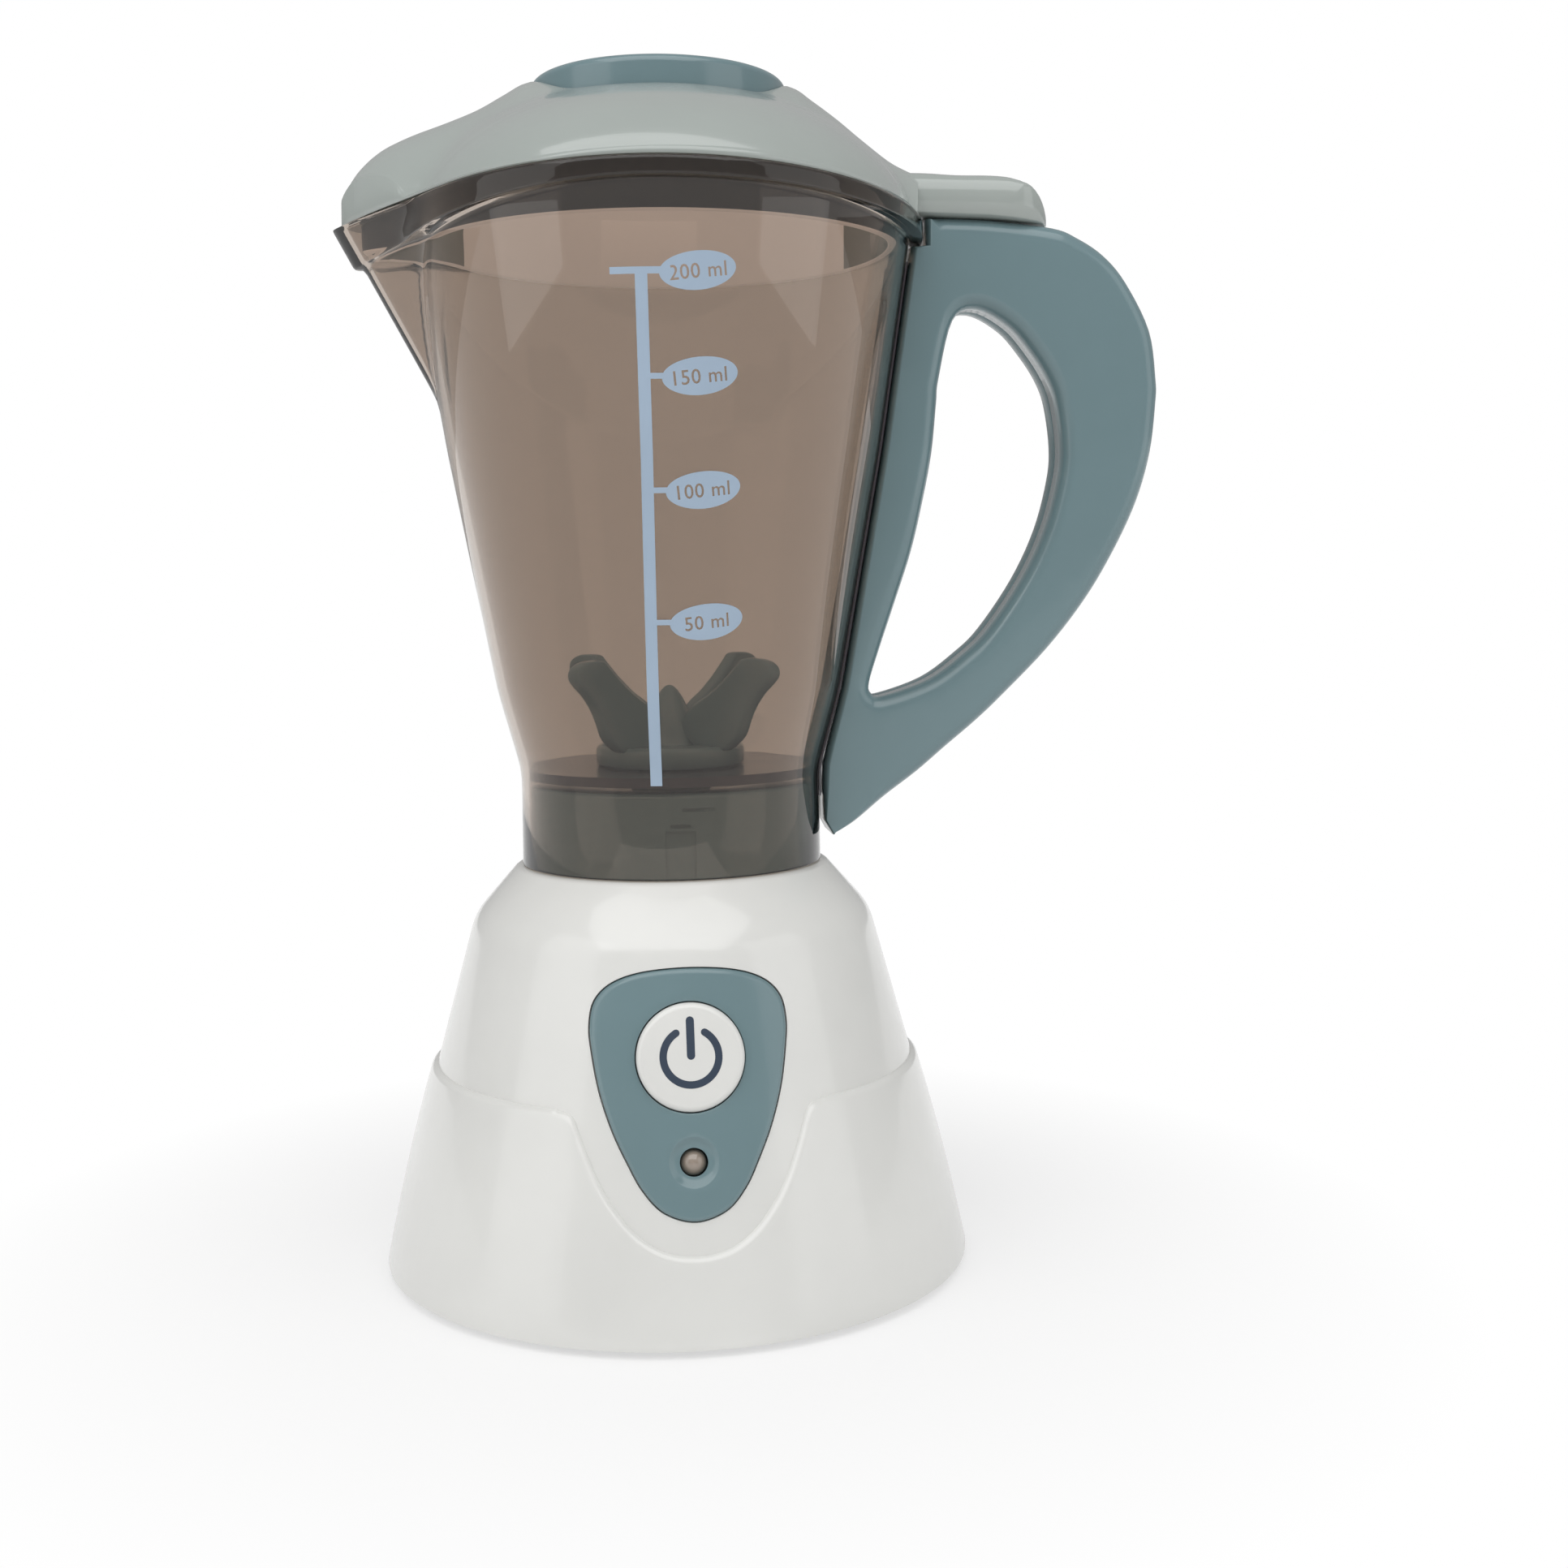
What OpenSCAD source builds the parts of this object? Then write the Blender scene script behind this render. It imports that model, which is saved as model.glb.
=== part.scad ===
// Toy blender: a battery-driven play blender with a lift-off jug, lid and spinning blade.
// Millimetres. Origin on the floor under the base's axis, +Z up, control panel towards -Y,
// pouring spout towards -X, handle towards +X.

/* [Base housing] */
// Height of the rubber foot ring below the housing
foot_h = 1.5; // [1:0.1:2.5]
// Distance of the rubber ring inside the base's edge
foot_in = 4.3; // [4.1:0.1:5.4]
// Width of the foot ring
foot_w = 3; // [2:0.1:3.2]
// Outside radius of the housing at its bottom edge
base_r = 59.9; // [58:0.1:64]
// Outside radius of the housing at its shoulder
shoulder_r = 40.3; // [39:0.1:42]
// Height of the conical part, from the bottom edge to the shoulder
cone_h = 70.5; // [70:0.5:76]
// Height of the chamfer above the shoulder
chamfer_h = 10; // [9:0.5:12]
// Radius of the flat top that the jug stands on
top_r = 31.5; // [31:0.1:33]
// Wall thickness of the housing
base_wall = 2.4; // [2:0.1:3]
// Height of the raised lower band
band_h = 40.8; // [38:0.1:43]
// How far the top of the band stands out from the cone
band_step = 1.4; // [1:0.1:1.8]
// How much the band's side bulges
band_bulge = 0.5; // [0.2:0.1:0.9]
// Height of the lowest point of the V-shaped cut-out in the band
notch_low = 15.8; // [13:0.1:17]

/* [Control panel] */
// Height of the button's centre above the housing's bottom edge
button_up = 50.5; // [49:0.1:52]
// Radius of the button
button_r = 10; // [9:0.1:10.5]
// How far the button stands out of the cone's surface
button_proud = 1.7; // [1.2:0.1:2.2]
// How far the button travels when it is pressed
button_travel = 2; // [1:0.1:2.5]
// Distance from the button's centre down to the lamp, along the slope
lamp_down = 19; // [17:0.1:20]
// Radius of the lamp's lens
lamp_r = 2.5; // [2.4:0.1:2.6]
// Radius of the dished recess around the lamp
dish_r = 4.5; // [4:0.1:5]
// How far the panel stands out of the cone's surface
panel_proud = 0.6; // [0.3:0.1:0.9]
// Thickness of the panel
panel_t = 2; // [1.6:0.1:2.4]
// Gap around the panel
panel_gap = 0.3; // [0.2:0.05:0.5]

/* [Jug seat and jug] */
// Height of the seat above the flat top
seat_h = 16.6; // [15:0.1:17]
// Outside radius of the jug's collar
collar_r = 30.5; // [30:0.1:31]
// Wall thickness of the jug
jug_wall = 1.8; // [1.4:0.1:2.2]
// Running clearance between the collar and the seat
seat_gap = 0.4; // [0.2:0.05:0.6]
// Height of the collar, up to the waist
collar_h = 18.8; // [18.5:0.1:20]
// Thickness of the jug's floor
jug_floor_t = 2; // [1.6:0.1:2.2]
// Height of the steep flare above the waist
flare_h = 16; // [13:0.5:19]
// Radius at the top of the flare
flare_r = 34.6; // [33.5:0.1:36]
// Radius half way up the jug
belly_r = 43.1; // [42:0.1:44]
// Radius at the mouth
mouth_r = 50.2; // [49:0.1:52]
// Height of the jug, from the flat top to the middle of the lip
jug_h = 129.8; // [127:0.1:134]
// Radius of the arch that the lip's top follows
arch_r = 420; // [380:5:500]
// How far the lip stands out of the wall
lip_proud = 1.7; // [1.2:0.1:2.2]
// Depth of the lip
lip_h = 3.5; // [3:0.1:5]
// Reach of the spout's tip from the axis
spout_reach = 66; // [63:0.5:69]
// Height of the spout's keel, from its foot to the lip
keel_h = 36.7; // [33:0.1:40]

/* [Handle] */
// Thickness of the handle
handle_t = 15; // [14:0.5:17]
// Edge radius of the handle
handle_edge = 3; // [2:0.25:3.5]
// Wall thickness of the handle halves
handle_wall = 2.2; // [1.8:0.1:2.6]
// Thickness of the jug's fin that the halves clamp
fin_t = 3; // [2:0.1:4]
// Radius of the handle's screws
handle_screw_r = 1.3; // [1.1:0.05:1.5]

/* [Lid] */
// Height of the lid's cap above the middle of the lip
cap_up = 23.8; // [22:0.1:26]
// Radius of the cap
cap_r = 25; // [23:0.1:26]
// Crown of the cap's top
cap_crown = 1.4; // [0.5:0.1:2]
// Wall thickness of the lid
lid_wall = 2.2; // [1.8:0.1:2.6]
// Radius of the lid's rim
lid_r = 51; // [50:0.1:51.5]
// Depth of the lid's skirt below the middle of the lip
skirt_down = 8.4; // [7:0.1:10]
// Thickness of the lid's skirt
skirt_t = 1.6; // [1.2:0.1:2]
// Width of the thumb tail
tail_w = 17; // [15:0.5:19]

/* [Blade] */
// Radius of the blade's hub
hub_r = 15.1; // [13:0.1:16]
// Height of the blade's hub
hub_h = 4; // [3.5:0.1:5]
// Number of fins
fin_count = 4; // [3:1:5]
// Thickness of a fin
blade_t = 3.2; // [2.4:0.1:4]
// Radius of the blade's shaft
blade_shaft_r = 2; // [1.5:0.1:2.2]

/* [Drive] */
// Radius of the output shaft
shaft_r = 1.5; // [1.25:0.05:1.75]
// Running clearance of the shafts in their bearings
run_gap = 0.05; // [0.03:0.01:0.08]
// Tooth module of the gears
tooth_module = 0.8; // [0.75:0.01:0.82]
// Teeth of the motor's pinion
pinion_teeth = 10; // [10:1:11]
// Teeth of the large gear
gear_teeth = 40; // [38:2:40]
// Width of the large gear
gear_w = 5; // [4:0.5:6]
// Length of the motor's body
motor_l = 25; // [24:0.5:27]
// Radius of the motor's body
motor_r = 10.05; // [9.8:0.05:10.5]
// Distance across the motor's flats
motor_flat = 15.1; // [14.5:0.1:16]

/* [Batteries] */
// Radius of an AA cell
cell_r = 7.15; // [7:0.05:7.25]
// Length of an AA cell with its tip
cell_l = 50.5; // [49.5:0.1:50.5]
// Wall thickness of the battery box
box_wall = 1.8; // [1.5:0.1:2.2]
// Thickness of the bottom cover
cover_t = 2.2; // [2:0.1:2.6]

/* [Hidden] */

$fn = 96;
eps = 0.01;

// Colours
white = [0.93, 0.93, 0.91];
accent = [0.43, 0.54, 0.56];
smoke = [0.45, 0.41, 0.39, 0.6];
steel = [0.75, 0.76, 0.78];
brass = [0.80, 0.68, 0.36];
dark = [0.13, 0.13, 0.14];

// Heights of the base
edge_z = foot_h;
shoulder_z = edge_z + cone_h;
top_z = shoulder_z + chamfer_h;
band_z = edge_z + band_h;
notch_z = edge_z + notch_low;
slope = (base_r - shoulder_r) / cone_h;
tilt = atan(slope);
function cone_r(z) = base_r - slope * (z - edge_z);

// Panel frame: origin on the cone's surface at the button, z out of the surface
button_z = edge_z + button_up;
module at_panel() translate([0, -cone_r(button_z), button_z]) rotate([90 - tilt, 0, 0]) children();

// Heights of the jug
seat_top = top_z + seat_h;
rest_gap = 0.15;
collar_z = top_z + rest_gap;
waist_z = collar_z + collar_h;
flare_z = waist_z + flare_h;
lip_z = top_z + jug_h;
belly_z = (flare_z + lip_z) / 2;
floor_top = waist_z + 0.9;
floor_low = floor_top - jug_floor_t;
waist_r = collar_r - 0.2;
over_z = lip_z + 4;
mouth_slope = (mouth_r - belly_r) / (lip_z - belly_z);
function jug_r(z) = z < waist_z ? collar_r + (waist_r - collar_r) * (z - collar_z) / collar_h
  : z < flare_z ? waist_r + (flare_r - waist_r) * (z - waist_z) / flare_h
  : z < belly_z ? flare_r + (belly_r - flare_r) * (z - flare_z) / (belly_z - flare_z)
  : belly_r + mouth_slope * (z - belly_z);
arch_x = -3;
function arch_z(x) = lip_z - (x - arch_x) * (x - arch_x) / (2 * arch_r);

// Spout: its keel is a straight line from the wall out to the tip
tip_z = arch_z(-spout_reach);
keel_z = tip_z - keel_h;
keel_foot = jug_r(keel_z) - 0.2;
keel_slope = (spout_reach - lip_proud - 0.4 - keel_foot) / keel_h;
keel_side = sqrt(1 + keel_slope * keel_slope);
function keel_x(z, inset) = -(keel_foot + keel_slope * (z - keel_z)) + inset * keel_side;

// Drive
gear_drop = 17;
gear_low = top_z - gear_drop;
frame_rest = gear_low + gear_w;
frame_top = gear_low - 2.5;
frame_t = 2.5;
frame_low = frame_top - frame_t;
shaft_gap = 0.1;
gear_distance = tooth_module * (pinion_teeth + gear_teeth) / 2 + shaft_gap;
motor_shaft_r = 1;
boss_r = 3.2;
frame_posts = [[18.5, 12], [-18.5, 12], [17, -14], [-17, -14]];
seat_spots = [for (a = [0, 90, 180, 270]) [20 * cos(a), 20 * sin(a)]];
cover_screw_in = 10.9;
cover_screw_grip = 10.8;
cover_spots = [for (a = [45, 135, 225, 315]) (base_r - cover_screw_in) * [cos(a), sin(a)]];
foot_r = base_r - foot_in;
foot_seat = 1;
screw_r = 1.4;
screw_head_r = 2.6;
screw_head_h = 1.8;
pilot_gap = 0.02;
panel_back_gap = 0.1;

// Battery box
box_l = cell_l + 8.5;
box_w = 4 * cell_r + 2.4;
box_y = 6;
box_h = 2 * cell_r + 2.2;
cover_low = edge_z;
cover_top = edge_z + cover_t;
door_t = 1.8;
cell_z = edge_z + door_t + 0.6 + cell_r;
box_top = edge_z + door_t + box_h;

// ---------- curve helpers ----------
// Catmull-Rom point between b and c
function cr(a, b, c, d, t) = 0.5 * (2 * b + (c - a) * t + (2 * a - 5 * b + 4 * c - d) * t * t
  + (3 * b - a - 3 * c + d) * t * t * t);
// Smooth closed outline through the points
function closed_curve(p, n = 4) = [for (i = [0 : len(p) - 1]) for (k = [0 : n - 1])
  cr(p[(i + len(p) - 1) % len(p)], p[i], p[(i + 1) % len(p)], p[(i + 2) % len(p)], k / n)];
// Smooth open line through the points
function open_curve(p, n = 4) = [for (i = [0 : len(p) - 2]) for (k = [0 : (i == len(p) - 2 ? n : n - 1)])
  cr(p[max(i - 1, 0)], p[i], p[i + 1], p[min(i + 2, len(p) - 1)], k / n)];
// Outline moved inwards by d, times the point's own share (counter-clockwise outlines)
function inset(p, d, share = []) = [for (i = [0 : len(p) - 1]) let (
  v = p[(i + 1) % len(p)] - p[(i + len(p) - 1) % len(p)],
  s = len(share) > 0 ? share[i] : 1) p[i] + d * s * [-v[1], v[0]] / norm(v)];
function mirrored(half) = concat(half, [for (i = [len(half) - 2 : -1 : 1]) [-half[i][0], half[i][1]]]);

module tube(r_out, r_in, h) difference() {
  cylinder(r = r_out, h = h);
  translate([0, 0, -1]) cylinder(r = r_in, h = h + 2);
}
module at_spots(spots, z) for (p = spots) translate([p[0], p[1], z]) children();
// Pan-head screw, head down, its head's underside at z = 0
module screw_up(length) {
  translate([0, 0, -screw_head_h]) cylinder(r = screw_head_r, h = screw_head_h);
  cylinder(r = screw_r, h = length);
}

// ---------- base ----------
// Panel outline about the button's centre, seen from the front: right half from bottom to top
panel_half = [[0, -28.4], [5.6, -26.8], [9.3, -23.1], [12.0, -18.3], [14.6, -12.7], [16.7, -6.1],
  [17.9, 0.8], [18.2, 5.2], [17.2, 9.6], [13.9, 12.9], [8.2, 14.9], [0, 15.6]];
// Cut-out in the band, right half from the bottom up; its heights are scaled to the band's own
notch_span = 25;
notch_half = [[0, 0], [5.2, 0.9], [9.6, 3.5], [13.5, 7.6], [16.9, 12.4], [19.4, 17.1], [21.2, 20.7],
  [22.6, 23.6], [24.2, 25.2], [26, 26]];

function panel_outline(d) = inset(closed_curve(
  [for (p = mirrored(panel_half)) [p[0], button_z + p[1]]], 3), d);
module panel_prism(d) rotate([90, 0, 0]) linear_extrude(height = base_r + 10)
  polygon(panel_outline(d));

module notch_prism() {
  right = open_curve([for (p = notch_half) [p[0], notch_z + p[1] * (band_z - notch_z) / notch_span]], 3);
  left = [for (i = [len(right) - 1 : -1 : 1]) [-right[i][0], right[i][1]]];
  rotate([90, 0, 0]) linear_extrude(height = base_r + 10) polygon(concat(left, right));
}

// Solid of revolution of the cone between two heights, moved out by d
module cone_solid(z0, z1, d) translate([0, 0, z0])
  cylinder(r1 = cone_r(z0) + d, r2 = cone_r(z1) + d, h = z1 - z0);

module band_solid() {
  edge = 1.2;
  n = 5;
  side = [for (i = [0 : n]) let (t = i / n) [base_r + (cone_r(band_z) + band_step - base_r) * t
    + 4 * band_bulge * t * (1 - t), edge_z + (band_h - edge) * t]];
  last = side[n];
  corner = [for (a = [30, 60, 90]) last + [-edge * (1 - cos(a)), edge * sin(a)]];
  rotate_extrude() polygon(concat([[0, edge_z]], side, corner, [[0, band_z]]));
}

module housing_outer() {
  cone_solid(edge_z + 6, shoulder_z, 0);
  translate([0, 0, shoulder_z]) cylinder(r1 = shoulder_r, r2 = top_r, h = chamfer_h);
  difference() {
    band_solid();
    notch_prism();
  }
}

module housing_inner() {
  inner_top = top_z - base_wall;
  cone_solid(edge_z - 1, shoulder_z - 1, -base_wall);
  translate([0, 0, shoulder_z - 1 - eps]) cylinder(r1 = shoulder_r - base_wall + slope,
    r2 = top_r - base_wall, h = inner_top - shoulder_z + 1 + eps);
}

module base_housing() color(white) difference() {
  union() {
    difference() {
      housing_outer();
      housing_inner();
      translate([0, 0, top_z - base_wall - 1]) cylinder(r = 12, h = base_wall + 2);
    }
    intersection() {
      housing_outer();
      at_spots(cover_spots, cover_top) cylinder(r = 3.6, h = 26);
    }
    at_spots(frame_posts, frame_rest) cylinder(r = boss_r, h = top_z - base_wall - frame_rest + 1);
  }
  // seat for the panel, and the opening behind it
  difference() {
    panel_prism(-panel_gap);
    cone_solid(edge_z, shoulder_z, panel_proud - panel_t - panel_back_gap);
  }
  panel_prism(2.4);
  at_spots(cover_spots, cover_top - 1) cylinder(r = screw_r + pilot_gap, h = 16);
  at_spots(frame_posts, frame_rest - 1) cylinder(r = screw_r + pilot_gap, h = 9);
  at_spots(seat_spots, top_z - base_wall - 1) cylinder(r = screw_r + 0.2, h = base_wall + 2);
}

seat_r = collar_r - jug_wall - seat_gap;
recess_r = 9.2;
recess_low = seat_top - 8.6;
module jug_seat() color(accent) difference() {
  union() {
    difference() {
      translate([0, 0, top_z]) cylinder(r = seat_r, h = seat_h);
      translate([0, 0, top_z - 1]) cylinder(r = seat_r - 2, h = seat_h - 1.2);
    }
    translate([0, 0, recess_low - 2]) cylinder(r = recess_r + 1.8, h = seat_top - recess_low + 2 - eps);
    translate([0, 0, gear_low + gear_w + 2.6]) cylinder(r = 4.5, h = recess_low - gear_low - gear_w - 3);
    at_spots(seat_spots, top_z) cylinder(r = boss_r, h = seat_h - 1);
  }
  translate([0, 0, recess_low]) cylinder(r = recess_r, h = 20);
  translate([0, 0, gear_low]) cylinder(r = shaft_r + run_gap, h = 40);
  at_spots(seat_spots, top_z - 1) cylinder(r = screw_r + pilot_gap, h = 10);
  // key slot and two small marks on the front of the wall
  translate([-2.9, -seat_r - 1, top_z - 1]) cube([5.8, 1.6, 10.5]);
  for (m = [[-1.9, 10.0, 3.8], [0.4, 13.2, 6.2]])
    translate([m[0], -seat_r - 1, top_z + m[1]]) cube([m[2], 1.7, 0.7]);
}

module seat_screws() color(steel) at_spots(seat_spots, top_z - base_wall) screw_up(base_wall + 7);

module control_panel() color(accent) difference() {
  union() {
    difference() {
      intersection() {
        panel_prism(0);
        cone_solid(edge_z, shoulder_z, panel_proud);
      }
      cone_solid(edge_z - 1, shoulder_z + 1, panel_proud - panel_t);
    }
    at_panel() at_spots(board_spots, -board_depth) cylinder(r = 2, h = board_depth - 1.6);
  }
  at_panel() {
    translate([0, 0, -9]) cylinder(r = button_r + 0.2, h = 18);
    translate([0, -lamp_down, -9]) cylinder(r = lamp_r + 0.1, h = 18);
    translate([0, -lamp_down, panel_proud - 0.9]) cylinder(r1 = lamp_r + 0.6, r2 = dish_r, h = 1.2);
    at_spots(board_spots, -board_depth - 1) cylinder(r = board_screw_r + pilot_gap, h = 9);
  }
}

board_depth = 20;
board_t = 1.6;
board_w = 27;
board_l = 37.6;
board_low = -25;
board_screw_r = 0.9;
board_spots = [[10.5, 9.8], [-10.5, 9.8], [7.5, -13], [-7.5, -13]];
lamp_back = 3.4;
module indicator_led() color([0.52, 0.46, 0.42]) at_panel() translate([0, -lamp_down, 0]) {
  translate([0, 0, -lamp_r - 0.3]) sphere(r = lamp_r);
  translate([0, 0, -lamp_back - 3]) cylinder(r = lamp_r, h = lamp_back + 2.7 - lamp_r);
  translate([0, 0, -lamp_back - 4]) cylinder(r = lamp_r + 0.4, h = 1);
  for (s = [-1, 1]) translate([1.27 * s, 0, -board_depth - board_t - 1])
    cylinder(r = 0.3, h = board_depth + board_t - lamp_back - 2);
}

module circuit_board() color([0.16, 0.36, 0.22]) at_panel() difference() {
  translate([-board_w / 2, board_low, -board_depth - board_t]) cube([board_w, board_l, board_t]);
  at_spots(board_spots, -board_depth - 3) cylinder(r = board_screw_r + 0.2, h = 5);
  for (s = [-1, 1]) translate([1.27 * s, -lamp_down, -board_depth - 3]) cylinder(r = 0.32, h = 5);
}

module board_screws() color(steel) at_panel() at_spots(board_spots, -board_depth - board_t) {
  translate([0, 0, -1.2]) cylinder(r = 2 * board_screw_r, h = 1.2);
  cylinder(r = board_screw_r, h = board_t + 6);
}

switch_h = 8;
switch_floor = 1;
plunger_r = 1.8;
plunger_in = switch_h - switch_floor - button_travel - 0.5;
flange_depth = 5.6;
flange_t = 1.2;
plunger_top = flange_depth + flange_t + 0.02;
module switch_body() color(dark) at_panel() difference() {
  translate([-4.25, -4.25, -board_depth]) cube([8.5, 8.5, switch_h]);
  translate([0, 0, -board_depth + switch_floor]) cylinder(r = plunger_r + 0.15, h = switch_h);
}

module switch_plunger() color([0.85, 0.85, 0.82]) at_panel()
  translate([0, 0, -board_depth + switch_h - plunger_in])
    cylinder(r = plunger_r, h = board_depth - switch_h + plunger_in - plunger_top);

module button_spring() color(steel) at_panel() translate([0, 0, -board_depth + switch_h])
  tube(3.6, 2.6, board_depth - switch_h - plunger_top - 0.02);

module power_button() color(white) at_panel() {
  edge = 1;
  rotate_extrude() polygon(concat([[0, -flange_depth], [button_r, -flange_depth]],
    [for (a = [0, 30, 60, 90]) [button_r - edge + edge * cos(a), button_proud - edge + edge * sin(a)]],
    [[0, button_proud]]));
  translate([0, 0, -flange_depth - flange_t]) cylinder(r = button_r + 1.3, h = flange_t + eps);
}

// ---------- bottom ----------
module box_room(grow, z0, z1) translate([-box_l / 2 - grow, box_y - box_w / 2 - grow, z0])
  cube([box_l + 2 * grow, box_w + 2 * grow, z1 - z0]);

cover_r = cone_r(cover_top) - base_wall - 0.3;
door_boss_x = box_l / 2 + 4.4;
module bottom_cover() color(white) difference() {
  union() {
    translate([0, 0, cover_low]) cylinder(r = cover_r, h = cover_t);
    box_room(box_wall, cover_low, box_top + box_wall);
    translate([door_boss_x, box_y, cover_low]) cylinder(r = 3.4, h = 9);
  }
  box_room(0, cover_low - 1, box_top);
  door_plate(0, cover_low - 1, edge_z + door_t);
  at_spots(cover_spots, cover_low - 1) cylinder(r = screw_r + 0.2, h = cover_t + 2);
  at_spots(cover_spots, cover_low - 1) cylinder(r = screw_head_r + 0.3, h = 1 + screw_head_h - 0.7);
  translate([0, 0, cover_low - 1]) tube(foot_r + 0.1, foot_r - foot_w - 0.1, 1 + foot_seat);
  translate([door_boss_x, box_y, cover_low - 1]) cylinder(r = 1.2, h = 8);
}

// Door outline: a rectangle over the box with a round tab for its screw
module door_plate(shrink, z0, z1) translate([0, 0, z0]) linear_extrude(height = z1 - z0) union() {
  translate([-box_l / 2 - 1 + shrink, box_y - box_w / 2 - 1 + shrink])
    square([box_l + 2 - 2 * shrink, box_w + 2 - 2 * shrink]);
  translate([door_boss_x, box_y]) circle(r = 4.6 - shrink);
}

module battery_door() color(white) difference() {
  union() {
    door_plate(0.25, edge_z, edge_z + door_t - 0.15);
    for (y = [-1, 1]) translate([-box_l / 2 + 4, box_y + y * (box_w / 2 - 1.4) - 0.6, edge_z + door_t - 0.2])
      cube([box_l - 8, 1.2, 0.5]);
  }
  translate([door_boss_x, box_y, edge_z - 1]) cylinder(r = 1.25, h = 5);
  translate([door_boss_x, box_y, edge_z - 1]) cylinder(r = 2.2, h = 1.9);
  for (i = [-2 : 2]) translate([-box_l / 2 + 6, box_y + i * 3 - 0.5, edge_z - 1]) cube([7, 1, 1.5]);
}

module door_screw() color(steel) translate([door_boss_x, box_y, edge_z + 0.2]) {
  cylinder(r = 2, h = 0.7);
  cylinder(r = 1.1, h = 6);
}

module cover_screws() color(steel) at_spots(cover_spots, cover_low + screw_head_h - 0.7) {
  translate([0, 0, 0.9 - screw_head_h]) cylinder(r = screw_head_r, h = screw_head_h - 0.9);
  cylinder(r = screw_r, h = cover_t + cover_screw_grip);
}

module foot_ring() color(dark) tube(foot_r, foot_r - foot_w, edge_z + foot_seat);

cell_y = cell_r + 0.4;
spring_l = box_l - cell_l - 1.6;
module cell_at(side) translate([side * spring_l / 2, box_y + side * cell_y, cell_z])
  rotate([0, side * 90, 0]) translate([0, 0, -cell_l / 2]) {
    cylinder(r = cell_r, h = cell_l - 1.2);
    cylinder(r = 2.7, h = cell_l);
  }
module battery_cell_1() color([0.70, 0.30, 0.16]) cell_at(1);
module battery_cell_2() color([0.70, 0.30, 0.16]) cell_at(-1);

contact_t = 0.6;
module battery_contacts() color(steel) {
  // one long plate joins the two cells at the -X end, two short ones lead away at the +X end
  for (side = [-1, 1]) for (end = [-1, 1])
    translate([end * (box_l / 2 - contact_t / 2 - 0.05), box_y + side * cell_y, cell_z])
      cube([contact_t, 2 * cell_r - 1.6, 2 * cell_r - 2], center = true);
  translate([-box_l / 2 + contact_t / 2 + 0.05, box_y, cell_z]) cube([contact_t, 6, 5], center = true);
}

module battery_springs() color(steel) for (side = [-1, 1])
  translate([-side * (box_l / 2 - contact_t - 0.06), box_y + side * cell_y, cell_z]) rotate([0, side * 90, 0])
    cylinder(r1 = 5, r2 = 3, h = box_l / 2 - contact_t - 0.06 + spring_l / 2 - cell_l / 2 - 0.02);

// ---------- drive ----------
module gear_frame() color([0.86, 0.85, 0.80]) difference() {
  union() {
    translate([-motor_r - 12.5, -18, frame_low]) cube([2 * motor_r + 25, 18 + gear_distance + 9, frame_t]);
    at_spots(frame_posts, frame_low) cylinder(r = boss_r, h = frame_rest - frame_low - 0.02);
    translate([0, 0, frame_low - 3.5]) cylinder(r = 4.5, h = 4);
    // two cheeks that hold the motor's sides
    for (s = [-1, 1]) translate([s * (motor_r + 1.2) - 0.9, gear_distance - 5, frame_low - 12])
      cube([1.8, 10, 12.5]);
  }
  translate([0, 0, frame_low - 5]) cylinder(r = bush_r, h = 12);
  translate([0, gear_distance, frame_low - 1]) cylinder(r = 3.2, h = frame_t + 2);
  for (s = [-1, 1]) translate([s * 8, gear_distance, frame_low - 1]) cylinder(r = 1.1, h = frame_t + 2);
  at_spots(frame_posts, frame_low - 1) cylinder(r = screw_r + 0.2, h = 20);
  at_spots(frame_posts, frame_low - 1) cylinder(r = screw_head_r + 0.2, h = 1 + 0.8);
}

module gear_frame_screws() color(steel) at_spots(frame_posts, frame_low + 0.8)
  screw_up(frame_rest + 6.5 - frame_low);

bush_r = 3;
module output_bush() color(brass) {
  difference() {
    union() {
      translate([0, 0, frame_low - 3.5]) cylinder(r = bush_r, h = frame_top - frame_low + 3.5);
      translate([0, 0, frame_top]) cylinder(r = 4, h = gear_low - frame_top - 0.3);
    }
    translate([0, 0, frame_low - 5]) cylinder(r = shaft_r + run_gap, h = 14);
  }
}

motor_low = frame_low - 0.02 - motor_l;
endcap_l = 3;
module motor_profile(grow) intersection() {
  circle(r = motor_r + grow);
  square([2 * motor_r + 4, motor_flat + 2 * grow], center = true);
}
module motor_can() color(steel) translate([0, gear_distance, 0]) difference() {
  union() {
    translate([0, 0, motor_low + endcap_l]) linear_extrude(height = motor_l - endcap_l) motor_profile(0);
    translate([0, 0, frame_low - 0.1]) cylinder(r = 3, h = 1.6);
  }
  translate([0, 0, motor_low + endcap_l - 1]) linear_extrude(height = motor_l - endcap_l - 0.5) motor_profile(-0.9);
  translate([0, 0, frame_low - 3]) cylinder(r = motor_shaft_r + run_gap, h = 8);
  for (s = [-1, 1]) translate([s * 8, 0, frame_low - 4]) cylinder(r = 0.8, h = 5);
}

module motor_endcap() color(dark) translate([0, gear_distance, motor_low]) difference() {
  union() {
    linear_extrude(height = endcap_l) motor_profile(0);
    translate([0, 0, -1.2]) cylinder(r = 3, h = 1.3);
  }
  translate([0, 0, 1.2]) linear_extrude(height = endcap_l) motor_profile(-1.5);
  translate([0, 0, -0.4]) cylinder(r = motor_shaft_r + run_gap, h = 8);
  for (s = [-1, 1]) translate([s * 5.4 - 0.3, -1.3, -1]) cube([0.6, 2.6, 4]);
}

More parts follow.
